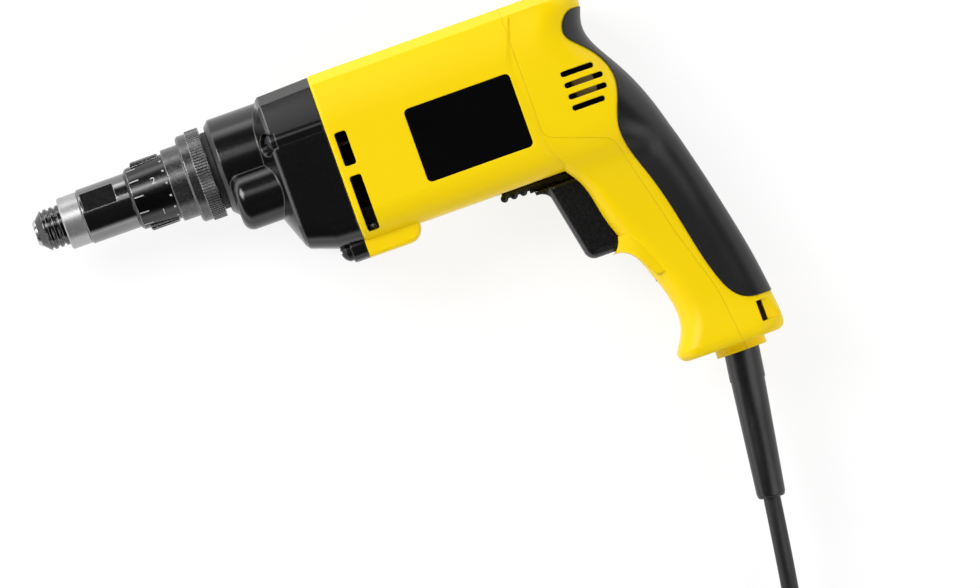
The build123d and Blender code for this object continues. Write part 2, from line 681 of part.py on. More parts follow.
def gear_case():
    """The black case in front: the spindle's nose, the idler's bump and a flared rear."""
    nose = rod(CASE_FRONT, CASE_SHOULDER_X, CASE_RADIUS)
    nose = chamfer(nose.faces().sort_by(Axis.X)[0].edges(), CASE_CHAMFER)
    bump = rod(BUMP_FRONT, CASE_SHOULDER_X, BUMP_RADIUS, IDLER)
    bump = fillet(bump.faces().sort_by(Axis.X)[0].edges(), BUMP_ROUND)
    sections = [body_section(*row[:4], CASE_SIDE_TOP, row[4]) for row in CASE_ROWS]
    flare = loft(sections, ruled=True)
    case = nose + bump + flare
    side_seat, foot_seat = SIDE_HEAD_FRONT + SCREW_HEAD_HEIGHT, FOOT_HEAD_FRONT + SCREW_HEAD_HEIGHT
    side, low = (SIDE_SCREW_Y, SIDE_SCREW_Z), (FOOT_SCREW_Y, FOOT_SCREW_Z)
    liners = both_sides(rod(CASE_SHOULDER_X - 1, side_seat + 2, SIDE_BOSS_RADIUS + GEAR_CASE_WALL / 2, side))
    case += both_sides(rod(foot_seat, JOINT_X, FOOT_BOSS_RADIUS, low))
    case -= gear_room()
    case += [flare & liner for liner in liners]
    case -= both_sides(rod(CASE_FRONT, side_seat, SIDE_BOSS_RADIUS, side))
    case -= both_sides(rod(CASE_FRONT, foot_seat, SCREW_HEAD_RADIUS + 0.3, low))
    case += both_sides(rod(side_seat, JOINT_X, SIDE_BOSS_RADIUS, side))
    case -= [rod(CASE_FRONT, JOINT_X, SCREW_RADIUS, at) for at in screw_places()]
    return case


def gear_room():
    """The hollow of the gear case with the seats of the nose tube, bush and bearing plate."""
    bush_end = BUMP_FRONT + GEAR_CASE_WALL + 2 + IDLER_BUSH_LENGTH
    room = rod(CASE_FRONT, CASE_FRONT + 20, TUBE_RADIUS)
    room += rod(TUBE_REAR, CASE_SHOULDER_X + 4, GEAR_ROOM_RADIUS)
    room += rod(bush_end, CASE_SHOULDER_X + 4, BUMP_RADIUS - GEAR_CASE_WALL, IDLER)
    room += rod(BUMP_FRONT + GEAR_CASE_WALL, bush_end, IDLER_BUSH_RADIUS, IDLER)
    top, bottom = CASE_SHOULDER_TOP - GEAR_CASE_WALL, CASE_SHOULDER_BOTTOM + CASE_FLOOR
    inner = CASE_HALF - GEAR_CASE_WALL
    wide = body_section(CASE_SHOULDER_X, top, bottom, inner, CASE_SIDE_TOP - 1, SEAT_ROUND)
    room += extrude(wide, PLATE_X - CASE_SHOULDER_X)
    return room + extrude(plate_outline(PLATE_X), JOINT_X - PLATE_X)


def plate_outline(x):
    """The outline of the bearing plate and of its seat."""
    inner = CASE_HALF - GEAR_CASE_WALL
    top, bottom = HOUSING_TOP - FACET_DROP, HOUSING_BOTTOM + CASE_FLOOR
    outline = body_section(x, top, bottom, inner, CASE_SIDE_TOP - 1, SEAT_ROUND)
    notches = [Plane.YZ.offset(x) * Pos(*at) * Circle(SIDE_BOSS_RADIUS) for at in screw_places()[:2]]
    return outline - notches


def bearing_plate():
    """The plate across the gear case that carries the armature, idler and spindle ends."""
    boss_front = SLOW_GEAR_X + SLOW_GEAR_WIDTH + WASHER_WIDTH + 0.2
    rear = PLATE_X + PLATE_THICKNESS
    plate = extrude(plate_outline(PLATE_X), PLATE_THICKNESS)
    plate += rod(boss_front, PLATE_X, SPINDLE_BOSS_RADIUS)
    plate -= rod(boss_front, boss_front + 4, SPINDLE_RADIUS + FREE_GAP)
    plate -= rod(boss_front + 4, PLATE_X, REAR_BUSH_RADIUS)
    plate -= rod(PLATE_X, rear, SHAFT_RADIUS + FREE_GAP, MOTOR)
    plate -= rod(rear - BEARING_WIDTH, rear, BEARING_RADIUS, MOTOR)
    return plate - rod(PLATE_X, rear, IDLER_BUSH_RADIUS, IDLER)


def long_screws():
    """Four long screws with domed heads."""
    screws = []
    for at in screw_places():
        front = SIDE_HEAD_FRONT if at[0] == SIDE_SCREW_Y else FOOT_HEAD_FRONT
        head = rod(front, front + SCREW_HEAD_HEIGHT, SCREW_HEAD_RADIUS, at)
        head &= Pos(front + SCREW_DOME_RADIUS, *at) * Sphere(SCREW_DOME_RADIUS)
        cross = []
        for wide, high in ((CROSS_HALF, CROSS_REACH), (CROSS_REACH, CROSS_HALF)):
            cross.append(Pos(front + CROSS_DEPTH / 2, *at) * Box(CROSS_DEPTH, 2 * wide, 2 * high))
        screws.append(head + rod(front + SCREW_HEAD_HEIGHT, SCREW_END, SCREW_RADIUS, at) - cross)
    return Compound(screws)


def spindle():
    """The output shaft: a hex socket in front, a collar, and a thin end in the rear bush."""
    shoulder = SLOW_GEAR_X + SLOW_GEAR_WIDTH + 1
    clip_start = TIP_FRONT - CLIP_THICKNESS
    groove = SPINDLE_RADIUS - 0.5
    collar_end = SPINDLE_COLLAR_X + SPINDLE_COLLAR_WIDTH
    shaft = turned(
        [
            (0, 0), (0, SPINDLE_RADIUS - 0.4), (0.4, SPINDLE_RADIUS), (clip_start, SPINDLE_RADIUS),
            (clip_start, groove), (TIP_FRONT, groove), (TIP_FRONT, SPINDLE_RADIUS),
            (SPINDLE_COLLAR_X, SPINDLE_RADIUS), (SPINDLE_COLLAR_X, SPINDLE_COLLAR_RADIUS),
            (collar_end, SPINDLE_COLLAR_RADIUS), (collar_end, SPINDLE_RADIUS),
            (shoulder, SPINDLE_RADIUS), (shoulder, SPINDLE_END_RADIUS),
            (SPINDLE_END, SPINDLE_END_RADIUS), (SPINDLE_END, 0),
        ]
    )
    flats = RegularPolygon(SOCKET_ACROSS_FLATS / 2, 6, major_radius=False)
    shaft -= extrude(Plane.YZ * flats, SOCKET_DEPTH)
    ball_hole = Pos(BALL_X, 0, 0) * extrude(Circle(BALL_RADIUS + RUN_GAP), SPINDLE_RADIUS + 1)
    return shaft - ball_hole


def detent_ball():
    """The ball that holds the bit by its groove."""
    return Pos(BALL_X, 0, SPINDLE_RADIUS - BALL_RADIUS - RUN_GAP) * Sphere(BALL_RADIUS)


def release_clip():
    """The ring that keeps the release sleeve on the spindle."""
    return pipe(TIP_FRONT - CLIP_THICKNESS, TIP_FRONT, TIP_MOUTH_RADIUS, SPINDLE_RADIUS - 0.5)


def release_sleeve():
    """The sleeve at the tip: a cone in front and round grooves for the fingers."""
    bore = SPINDLE_RADIUS + RUN_GAP
    points = [(TIP_FRONT, bore), (TIP_FRONT, TIP_MOUTH_RADIUS), (TIP_FRONT + TIP_CONE, TIP_RADIUS)]
    ribbed = TIP_REAR - 1.6 - (TIP_FRONT + TIP_CONE)
    step = ribbed / TIP_RIBS
    for number in range(TIP_RIBS):
        x = TIP_FRONT + TIP_CONE + step * number
        points += [
            (x + 0.1 * step, TIP_RADIUS),
            (x + 0.25 * step, TIP_RADIUS - TIP_RIB_DEPTH),
            (x + 0.45 * step, TIP_RADIUS - TIP_RIB_DEPTH),
            (x + 0.6 * step, TIP_RADIUS),
        ]
    points += [(TIP_REAR, TIP_RADIUS), (TIP_REAR, TIP_CAVITY_RADIUS)]
    points += [(TIP_SHOULDER_X, TIP_CAVITY_RADIUS), (TIP_SHOULDER_X, bore)]
    return turned(points)


def release_spring():
    """The spring that keeps the release sleeve forward."""
    radius = (SPINDLE_RADIUS + TIP_CAVITY_RADIUS) / 2
    return spring_along_x(radius, RELEASE_WIRE, TIP_SHOULDER_X, SPINDLE_COLLAR_X, RELEASE_TURNS)


def nose_barrel():
    """The steel barrel with wrench flats, which goes on as a slotted tube to the gear case."""
    tip_room = TIP_RADIUS + FREE_GAP
    room_end = TIP_REAR + TIP_TRAVEL + SPINDLE_TRAVEL + 1
    bush_end = NOSE_BUSH_X + NOSE_BUSH_LENGTH
    barrel = turned(
        [
            (BARREL_FRONT, tip_room), (BARREL_FRONT, BAND_SEAT_RADIUS), (BAND_END, BAND_SEAT_RADIUS),
            (BAND_END, BARREL_RADIUS - 0.5), (BAND_END + 0.5, BARREL_RADIUS),
            (SCALE_FRONT, BARREL_RADIUS), (SCALE_FRONT, TUBE_RADIUS), (TUBE_REAR, TUBE_RADIUS),
            (TUBE_REAR, TUBE_BORE), (bush_end, TUBE_BORE), (bush_end, NOSE_BUSH_RADIUS),
            (NOSE_BUSH_X, NOSE_BUSH_RADIUS), (NOSE_BUSH_X, SPINDLE_COLLAR_RADIUS + FREE_GAP),
            (room_end, SPINDLE_COLLAR_RADIUS + FREE_GAP), (room_end, tip_room),
        ]
    )
    flat = block(FLAT_FRONT, FLAT_REAR, FLAT_DISTANCE, BARREL_RADIUS + 1, -BARREL_RADIUS, BARREL_RADIUS)
    for number in range(2):
        barrel -= Rot(60 + 180 * number, 0, 0) * flat
    slot_end = NUT_X + NUT_LENGTH + ADJUST_PITCH * ADJUST_TURN / 360 + 1
    slot_half = NUT_LUG_WIDTH / 2 + FREE_GAP
    return barrel - block(NUT_X - 1, slot_end, -TUBE_RADIUS - 1, TUBE_RADIUS + 1, -slot_half, slot_half)


def nose_band():
    """The bright ring round the front of the barrel."""
    return turned(
        [
            (BARREL_FRONT, BAND_SEAT_RADIUS), (BARREL_FRONT, BAND_RADIUS - 0.6),
            (BARREL_FRONT + 0.6, BAND_RADIUS), (BAND_END - 0.3, BAND_RADIUS),
            (BAND_END, BAND_RADIUS - 0.3), (BAND_END, BAND_SEAT_RADIUS),
        ]
    )


def scale_sleeve():
    """The black sleeve that carries the scale, with three ribs above and three below for the fingers."""
    bore = TUBE_RADIUS + RUN_GAP
    front = SCALE_FRONT + 0.2
    sleeve = turned(
        [
            (front, bore), (front, SCALE_RADIUS - 1.2), (front + 1.2, SCALE_RADIUS),
            (SCALE_REAR, SCALE_REAR_RADIUS), (SCALE_REAR, bore),
        ]
    )
    rib = block(front + 4, SCALE_REAR - 1.5, SCALE_RADIUS - 0.8, SCALE_RIB_RADIUS,
                -SCALE_RIB_WIDTH / 2, SCALE_RIB_WIDTH / 2)
    rib = chamfer(rib.faces().sort_by(Axis.Y)[-1].edges(), 0.6)
    turns = [side + SCALE_RIB_STEP * number for side in (0, 180) for number in (-1, 0, 1)]
    return sleeve + [Rot(turn, 0, 0) * rib for turn in turns]


def adjusting_ring():
    """The steel ring that sets the clutch: a hub, a flange and a straight-cut grip."""
    bore = TUBE_RADIUS + RUN_GAP
    relief = NUT_LUG_RADIUS + FREE_GAP
    relief_end = NUT_X + NUT_LENGTH + ADJUST_PITCH * ADJUST_TURN / 360 + 1
    ring = turned(
        [
            (SCALE_REAR, bore), (SCALE_REAR, HUB_RADIUS - 0.4), (SCALE_REAR + 0.4, HUB_RADIUS),
            (HUB_REAR, HUB_RADIUS), (HUB_REAR, FLANGE_RADIUS - 1), (HUB_REAR + 1, FLANGE_RADIUS),
            (FLANGE_REAR, FLANGE_RADIUS), (FLANGE_REAR, bore),
        ]
    )
    teeth = []
    for number in range(KNURL_COUNT):
        turn = 2 * math.pi * number / KNURL_COUNT
        half_step = math.pi / KNURL_COUNT
        low = KNURL_RADIUS - KNURL_DEPTH
        teeth.append((KNURL_RADIUS * math.cos(turn), KNURL_RADIUS * math.sin(turn)))
        teeth.append((low * math.cos(turn + half_step), low * math.sin(turn + half_step)))
    outline = make_face(Polyline(*teeth, close=True))
    grip = extrude(Plane.YZ.offset(FLANGE_REAR) * outline, RING_REAR - FLANGE_REAR)
    grip -= rod(FLANGE_REAR, RING_REAR, bore)
    return ring + grip - pipe(NUT_X - 1, relief_end, relief, TUBE_RADIUS)


def dust_seal():
    """The rubber ring between the adjuster and the gear case."""
    return pipe(RING_REAR + FREE_GAP, CASE_FRONT, SEAL_RADIUS, TUBE_RADIUS)


def spring_nut():
    """The nut in the tube whose lugs reach the adjusting ring's thread through the slots."""
    nut = pipe(NUT_X, NUT_X + NUT_LENGTH, TUBE_BORE - FREE_GAP, SPINDLE_RADIUS + FREE_GAP)
    half = NUT_LUG_WIDTH / 2
    lugs = block(NUT_X + 1, NUT_X + NUT_LENGTH - 1, -NUT_LUG_RADIUS, NUT_LUG_RADIUS, -half, half)
    return nut + (lugs - rod(NUT_X, NUT_X + NUT_LENGTH, SPINDLE_RADIUS + FREE_GAP))


def clutch_spring():
    """The spring between the nut and the clutch disc."""
    radius = (SPINDLE_RADIUS + TUBE_BORE) / 2 + 0.1
    return spring_along_x(radius, CLUTCH_WIRE, NUT_X + NUT_LENGTH, DISC_X, CLUTCH_TURNS)


def dogs(x0, x1, turn):
    """The driving dogs of the clutch on one face."""
    half = math.pi * DOG_INNER_RADIUS / DOG_COUNT / 2 - FREE_GAP
    dog = block(x0, x1, DOG_INNER_RADIUS, DOG_RADIUS, -half, half)
    return [Rot(turn + 360 / DOG_COUNT * number, 0, 0) * dog for number in range(DOG_COUNT)]


def clutch_disc():
    """The disc on the spindle whose dogs meet those of the drive gear."""
    disc = pipe(DISC_X, DISC_X + DISC_WIDTH, DISC_RADIUS, SPINDLE_RADIUS)
    rear = DISC_X + DISC_WIDTH
    return disc + dogs(rear, rear + DOG_HEIGHT, 180 / DOG_COUNT)


def drive_gear():
    """The large gear on the spindle, with dogs in front."""
    wheel = gear(
        DRIVE_TEETH, SLOW_MODULE, -SLOW_SHIFT, SLOW_GEAR_X, SLOW_GEAR_WIDTH,
        SLOW_ANGLE + 180 + 180 / DRIVE_TEETH,
    )
    hub_front = DISC_X + DISC_WIDTH + SPINDLE_TRAVEL + DOG_HEIGHT + 0.3
    wheel += rod(hub_front, SLOW_GEAR_X, DOG_RADIUS)
    wheel += dogs(hub_front - DOG_HEIGHT, hub_front, 0)
    return wheel - rod(CASE_FRONT, JOINT_X, SPINDLE_RADIUS + RUN_GAP)


def thrust_washer():
    """The washer behind the drive gear."""
    front = SLOW_GEAR_X + SLOW_GEAR_WIDTH + 0.2
    return pipe(front, front + WASHER_WIDTH, SPINDLE_BOSS_RADIUS, SPINDLE_RADIUS + FREE_GAP)


def rear_bush():
    """The bush of the spindle's thin end."""
    front = SLOW_GEAR_X + SLOW_GEAR_WIDTH + WASHER_WIDTH + 4.2
    return pipe(front, PLATE_X, REAR_BUSH_RADIUS, SPINDLE_END_RADIUS + RUN_GAP)


def nose_bush():
    """The bush of the spindle in the nose."""
    return pipe(NOSE_BUSH_X, NOSE_BUSH_X + NOSE_BUSH_LENGTH, NOSE_BUSH_RADIUS, SPINDLE_RADIUS + RUN_GAP)


def idler_pinion():
    """The idler's shaft with its small gear."""
    front = BUMP_FRONT + GEAR_CASE_WALL + 0.5
    shaft = rod(front, PLATE_X + PLATE_THICKNESS - 0.5, IDLER_SHAFT_RADIUS, IDLER)
    return shaft + gear(
        IDLER_PINION_TEETH, SLOW_MODULE, SLOW_SHIFT, SLOW_GEAR_X, SLOW_GEAR_WIDTH, SLOW_ANGLE, IDLER)


def idler_gear():
    """The idler's large gear, pressed on the shaft."""
    angle = FAST_ANGLE + 180 + 180 / IDLER_TEETH
    wheel = gear(IDLER_TEETH, FAST_MODULE, -FAST_SHIFT, FAST_GEAR_X, FAST_GEAR_WIDTH, angle, IDLER)
    return wheel - rod(CASE_FRONT, JOINT_X, IDLER_SHAFT_RADIUS, IDLER)


def idler_bush(x0, length):
    """A bush of the idler's shaft."""
    return pipe(x0, x0 + length, IDLER_BUSH_RADIUS, IDLER_SHAFT_RADIUS + RUN_GAP, IDLER)


def armature_shaft():
    """The motor's shaft, with the pinion cut on its front end."""
    plate_rear = PLATE_X + PLATE_THICKNESS
    seat = plate_rear - BEARING_WIDTH
    pinion_end = FAST_GEAR_X + FAST_GEAR_WIDTH + 0.5
    shaft = gear(
        MOTOR_TEETH, FAST_MODULE, FAST_SHIFT, FAST_GEAR_X - 0.5, FAST_GEAR_WIDTH + 1, FAST_ANGLE, MOTOR)
    shaft += rod(pinion_end, plate_rear, FRONT_BEARING_BORE - RUN_GAP, MOTOR)
    shaft += rod(pinion_end, seat, SHAFT_RADIUS - 0.5, MOTOR)
    shaft += rod(plate_rear + 0.5, REAR_BEARING_X - 0.5, SHAFT_RADIUS, MOTOR)
    shaft += rod(plate_rear, plate_rear + 0.5, FRONT_BEARING_BORE - RUN_GAP, MOTOR)
    return shaft + rod(
        REAR_BEARING_X - 0.5, REAR_BEARING_X + BEARING_WIDTH, REAR_BEARING_BORE - RUN_GAP, MOTOR)


def armature_core():
    """The slotted iron core on the shaft."""
    core = pipe(CORE_X, CORE_X + CORE_LENGTH, CORE_RADIUS, SHAFT_RADIUS)
    slot = block(CORE_X, CORE_X + CORE_LENGTH, CORE_RADIUS - 6, CORE_RADIUS + 1, -1.1, 1.1)
    core -= [Rot(360 / CORE_SLOTS * number, 0, 0) * slot for number in range(CORE_SLOTS)]
    return Pos(0, *MOTOR) * core


def armature_windings():
    """The wound ends in front of the core and behind it."""
    outer = CORE_RADIUS - 1.5
    ends = []
    for x, way in ((CORE_X, -1), (CORE_X + CORE_LENGTH, 1)):
        far = x + way * WINDING_LENGTH
        ends.append(
            turned(
                [
                    (x, SHAFT_RADIUS), (x, outer), (x + way * 3, outer), (far, outer - 4),
                    (far, SHAFT_RADIUS),
                ],
                MOTOR,
            )
        )
    return Compound(ends)


def commutator():
    """The copper drum that the brushes run on."""
    return pipe(COMMUTATOR_X, COMMUTATOR_X + COMMUTATOR_LENGTH, COMMUTATOR_RADIUS, SHAFT_RADIUS, MOTOR)


def cooling_fan():
    """The fan in front of the motor: a disc, a hub and straight blades."""
    end = FAN_X + FAN_LENGTH
    hub = SHAFT_RADIUS + 2.5
    fan = rod(FAN_X, FAN_X + 1.8, FAN_RADIUS) + rod(FAN_X, end, hub)
    blade = block(FAN_X + 1, end, hub + 2, FAN_RADIUS - 0.5, -0.7, 0.7)
    fan += [Rot(360 / FAN_BLADES * number, 0, 0) * blade for number in range(FAN_BLADES)]
    return Pos(0, *MOTOR) * (fan - rod(FAN_X, end, SHAFT_RADIUS))


def bearing(x0, bore):
    """A ball bearing of the armature, with a groove between its rings."""
    end = x0 + BEARING_WIDTH
    inner, outer = bore + 2.0, BEARING_RADIUS - 2.0
    return turned(
        [
            (x0, bore), (x0, inner), (x0 + 0.5, inner), (x0 + 0.5, outer), (x0, outer),
            (x0, BEARING_RADIUS), (end, BEARING_RADIUS), (end, outer), (end - 0.5, outer),
            (end - 0.5, inner), (end, inner), (end, bore),
        ],
        MOTOR,
    )


def sector(x0, x1, inner, outer, span):
    """A piece of a ring on the left of the motor's axis, span degrees to each side."""
    turn = math.radians(span)

    def spot(radius, angle):
        return (MOTOR[0] + radius * math.sin(angle), MOTOR[1] + radius * math.cos(angle))

    edges = [
        ThreePointArc(spot(outer, -turn), spot(outer, 0), spot(outer, turn)),
        Line(spot(outer, turn), spot(inner, turn)),
        ThreePointArc(spot(inner, turn), spot(inner, 0), spot(inner, -turn)),
        Line(spot(inner, -turn), spot(outer, -turn)),
    ]
    return extrude(Plane.YZ.offset(x0) * make_face(edges), x1 - x0)


def field_core():
    """The iron ring round the armature, with room for the coils at its sides."""
    bore = CORE_RADIUS + AIR_GAP
    ring = pipe(CORE_X, CORE_X + CORE_LENGTH, FIELD_RADIUS, bore, MOTOR)
    return ring - both_sides(sector(CORE_X, CORE_X + CORE_LENGTH, bore - 1, YOKE_RADIUS, COIL_SPAN))


def field_coils():
    """The two field coils."""
    front, rear = CORE_X - WINDING_LENGTH, CORE_X + CORE_LENGTH + WINDING_LENGTH / 2
    coil = sector(front, rear, CORE_RADIUS + AIR_GAP + FREE_GAP, YOKE_RADIUS, COIL_SPAN - 1)
    return Compound(both_sides(coil))


def fan_baffle():
    """The plate that guides the air into the fan."""
    section = body_section(BAFFLE_X, HOUSING_TOP - WALL, HOUSING_BOTTOM + WALL, HOUSING_HALF - WALL,
                           SIDE_TOP, BOTTOM_ROUND - WALL)
    baffle = extrude(section, BAFFLE_THICKNESS) - rod(JOINT_X, CORE_X, BAFFLE_HOLE, MOTOR)
    return baffle - [rod(JOINT_X, CORE_X, SIDE_BOSS_RADIUS, at) for at in screw_places()[:2]]


def end_bracket():
    """The bracket that holds the brush gear and the rear bearing, with a wire guard behind the vents."""
    section = body_section(BRACKET_X, HOUSING_TOP - WALL, HOUSING_BOTTOM + WALL, HOUSING_HALF - WALL,
                           SIDE_TOP, BOTTOM_ROUND - WALL)
    rear = REAR_BEARING_X + BEARING_WIDTH + 1.5
    cup = BEARING_RADIUS + 3
    bracket = extrude(section, BRACKET_THICKNESS) - rod(JOINT_X, rear, BRACKET_HOLE, MOTOR)
    for way in (1, -1):
        height = MOTOR[0] + way * (cup + 1.5)
        foot_height = MOTOR[0] + way * (BRACKET_HOLE + 3)
        leg = Polyline(
            (BRACKET_X, foot_height + way * 2), (BRACKET_X, foot_height - way * 4),
            (REAR_BEARING_X - 2, height - way * 4), (rear, height - way * 4), (rear, height), close=True,
        )
        bracket += prism(leg, 6)
    guard_front = REAR_BEARING_X - 2
    high, low = GUARD_BACK[0][1], GUARD_BACK[-1][1]
    guard = Polyline((guard_front, low), (guard_front, high), *GUARD_BACK, close=True)
    bracket += prism(guard, GUARD_HALF)
    bracket += rod(REAR_BEARING_X, rear, cup, MOTOR)
    bracket -= rod(REAR_BEARING_X, REAR_BEARING_X + BEARING_WIDTH, BEARING_RADIUS, MOTOR)
    return bracket - rod(JOINT_X, REAR_BEARING_X + 1, SHAFT_RADIUS + 2, MOTOR)


def brush_place():
    """Where a brush lies along the motor's axis."""
    return COMMUTATOR_X + COMMUTATOR_LENGTH / 2


def brush_room(grow, z0, z1):
    """The square room of a brush on the left of the commutator."""
    half = BRUSH_WIDTH / 2 + grow
    x = brush_place()
    return block(x - half, x + half, MOTOR[0] - half, MOTOR[0] + half, z0, z1)


def brush_holders():
    """The two brass boxes of the brushes, seated on the bracket."""
    near, far = COMMUTATOR_RADIUS + 1.5, COMMUTATOR_RADIUS + BRUSH_LENGTH + 8
    box = brush_room(HOLDER_WALL, near, far)
    low, high = MOTOR[0] - BRUSH_WIDTH / 2 - HOLDER_WALL, MOTOR[0] + BRUSH_WIDTH / 2 + HOLDER_WALL
    box += block(BRACKET_X + BRACKET_THICKNESS, brush_place(), low, high, far - 8, far)
    return Compound(both_sides(box - brush_room(0, near, far - HOLDER_WALL)))


def brushes():
    """The two carbon brushes."""
    near = COMMUTATOR_RADIUS + 0.1
    return Compound(both_sides(brush_room(0, near, near + BRUSH_LENGTH)))


def brush_springs():
    """The springs that press the brushes."""
    near = COMMUTATOR_RADIUS + 0.1 + BRUSH_LENGTH
    far = COMMUTATOR_RADIUS + BRUSH_LENGTH + 6.8
    one = Pos(brush_place(), MOTOR[0], near) * spring(2.0, 0.6, far - near, 3)
    return Compound(both_sides(one))


def trigger():
    """The trigger with its rounded front, a horn under the lever and the plunger."""
    back_top, back_foot = (TRIGGER_BACK, TRIGGER_TOP[1]), (TRIGGER_BACK, TRIGGER_FOOT[1])
    front = FilletPolyline(TRIGGER_TOP, TRIGGER_FOOT, back_foot, radius=TRIGGER_FOOT_BEND)
    body = prism([front, Polyline(back_foot, back_top, TRIGGER_TOP)], TRIGGER_HALF)
    sides = body.faces().filter_by(Axis.Z)
    fronts = [edge for face in sides for edge in face.edges() if is_trigger_front(edge.center())]
    body = fillet(fronts, TRIGGER_EDGE)
    return body + trigger_horn() + plunger(PLUNGER_RADIUS, -1, PLUNGER_LENGTH)


def is_trigger_front(spot):
    """True on the edges where the finger rests."""
    return spot.X < TRIGGER_FOOT[0] + 2 and spot.Y < TRIGGER_TOP[1] - 1


def trigger_horn():
    """The thin lip that runs forward from the trigger's top."""
    tip = (HORN_TIP_X, TRIGGER_TOP[1])
    low = (HORN_TIP_X + 0.4, TRIGGER_TOP[1] - HORN_THICKNESS)
    under = ThreePointArc(low, HORN_CURVE, HORN_ROOT)
    return prism([under, Polyline(HORN_ROOT, (HORN_ROOT[0], TRIGGER_TOP[1]), tip, low)], HORN_HALF)


def plunger_place():
    """The middle of the trigger's back."""
    return (TRIGGER_BACK, (TRIGGER_TOP[1] + TRIGGER_FOOT[1]) / 2, 0)


def plunger(radius, start, end):
    """A round bar from the trigger's back into the switch."""
    x, y, z = plunger_place()
    return rod(x + start, x + end, radius, (y, z))


def switch_body():
    """The switch in the handle, with the hole of the plunger."""
    reach = PLUNGER_LENGTH + TRIGGER_TRAVEL + 1
    return block(*SWITCH_BOX, -SWITCH_HALF, SWITCH_HALF) - plunger(PLUNGER_RADIUS + FREE_GAP, 0, reach)


def reverse_lever():
    """The lever over the trigger: a ribbed tip in front, a hub, a tail and a pin up into the housing."""
    low = LEVER_TOP - LEVER_DEPTH
    tip, waist = LEVER_FRONT + 1, LEVER_FRONT + LEVER_PADS * LEVER_PAD_STEP
    half_outline = [(tip, LEVER_TIP_HALF), (waist, LEVER_WAIST_HALF), (LEVER_PIVOT_X, LEVER_HUB_RADIUS),
                    (LEVER_TAIL, LEVER_TIP_HALF)]
    outline = Polyline(*half_outline, *[(x, -z) for x, z in reversed(half_outline)], close=True)
    level = Plane((0, LEVER_TOP, 0), x_dir=(1, 0, 0), z_dir=(0, -1, 0))
    lever = extrude(level * make_face(outline), LEVER_DEPTH)
    lever -= block(LEVER_FRONT, waist, low, LEVER_TOP - LEVER_ARM_DEPTH, -FAR, FAR)
    hub = Rot(90, 0, 0) * extrude(Circle(LEVER_HUB_RADIUS), LEVER_DEPTH)
    lever += Pos(LEVER_PIVOT_X, LEVER_TOP, 0) * hub
    pin = Rot(-90, 0, 0) * extrude(Circle(LEVER_PIN_RADIUS), WALL + 2)
    lever += Pos(LEVER_PIVOT_X, LEVER_TOP - 1, 0) * pin
    for step in range(LEVER_PADS):
        place = Pos(LEVER_FRONT + LEVER_PAD_RADIUS + LEVER_PAD_STEP * step, low + LEVER_PAD_RADIUS, 0)
        lever += place * Cylinder(LEVER_PAD_RADIUS, LEVER_PAD_WIDTH - 1.5 * step)
    return lever


def protector():
    """The rubber strain relief: a flange inside the handle, a neck and a long taper."""
    end = PROTECTOR_LENGTH
    inner = COLLAR_BOTTOM - SOLE_ROW[0] - WALL - 0.2
    profile = [
        (0, inner - 12), (CORD_RADIUS, inner - 12), (CORD_RADIUS, inner - 4), (PROTECTOR_FLANGE, inner - 4),
        (PROTECTOR_FLANGE, inner), (PROTECTOR_NECK, inner), (PROTECTOR_NECK, PROTECTOR_STEP),
        (PROTECTOR_NECK - 0.7, PROTECTOR_STEP + 0.7), (PROTECTOR_END, end - 1),
        (PROTECTOR_END - 1, end), (0, end),
    ]
    outline = make_face(Polyline(*[(x, -y) for x, y in profile], close=True))
    return PROTECTOR_PLACE * revolve(outline, Axis.Y)


def cord_clamp():
    """The bar that holds the cord inside the handle."""
    half, wide = CLAMP_SPAN / 2, CLAMP_WIDTH / 2
    bar = block(CLAMP_X - half, CLAMP_X + half, CLAMP_Y - wide, CLAMP_Y + wide, CLAMP_SEAT, CLAMP_TOP)
    return bar - protector() - clamp_screws()


def clamp_screws():
    """The two screws of the cord clamp."""
    screws = []
    for x in clamp_screw_places():
        shank = Pos(x, CLAMP_Y, CLAMP_TOP - CLAMP_SCREW_LENGTH) * extrude(Circle(1.2), CLAMP_SCREW_LENGTH)
        screws.append(shank + Pos(x, CLAMP_Y, CLAMP_TOP) * extrude(Circle(2.2), 1.6))
    return Compound(screws)


def cover_screw():
    """The slotted screw that holds the rear cover from the front of the handle."""
    at = (COVER_SCREW_Y, 0)
    front = COVER_SEAT_X - COVER_HEAD_HEIGHT
    screw = rod(COVER_SEAT_X, COVER_SEAT_X + COVER_SCREW_LENGTH, COVER_SCREW_RADIUS, at)
    screw += rod(front, COVER_SEAT_X, COVER_HEAD_RADIUS, at)
    return screw - block(front, front + 1, COVER_SCREW_Y - 0.5, COVER_SCREW_Y + 0.5, -2.4, 2.4)


def cord_start(run):
    """A point on the strain relief's axis, that far past its end."""
    return (PROTECTOR_PLACE * Pos(0, -PROTECTOR_LENGTH - run, 0)).position


def cord_lead():
    """The free stretch from the strain relief to the coil, as straight runs and tangent arcs."""
    entry = Vector(*COIL_ENTRY, COIL_Z)
    points = [cord_start(0), cord_start(CORD_EXIT_RUN)] + [Vector(*point) for point in CORD_DROP]
    points += [entry + Vector(0, COIL_ENTRY_RUN, 0), entry]
    radii = []
    for before, here, after in zip(points, points[1:], points[2:]):
        run = min((here - before).length, (after - here).length)
        turn = math.radians((here - before).get_angle(after - here))
        radii.append(0.45 * run / math.tan(turn / 2))
    print("cord radii", [round(radius) for radius in radii])
    path = FilletPolyline(*points, radius=radii)
    tube = sweep(Plane(path @ 0, z_dir=path % 0) * Circle(CORD_RADIUS), path)
    print("cord volume share", round(tube.volume / (math.pi * CORD_RADIUS**2 * path.length), 4))
    return tube, path.length


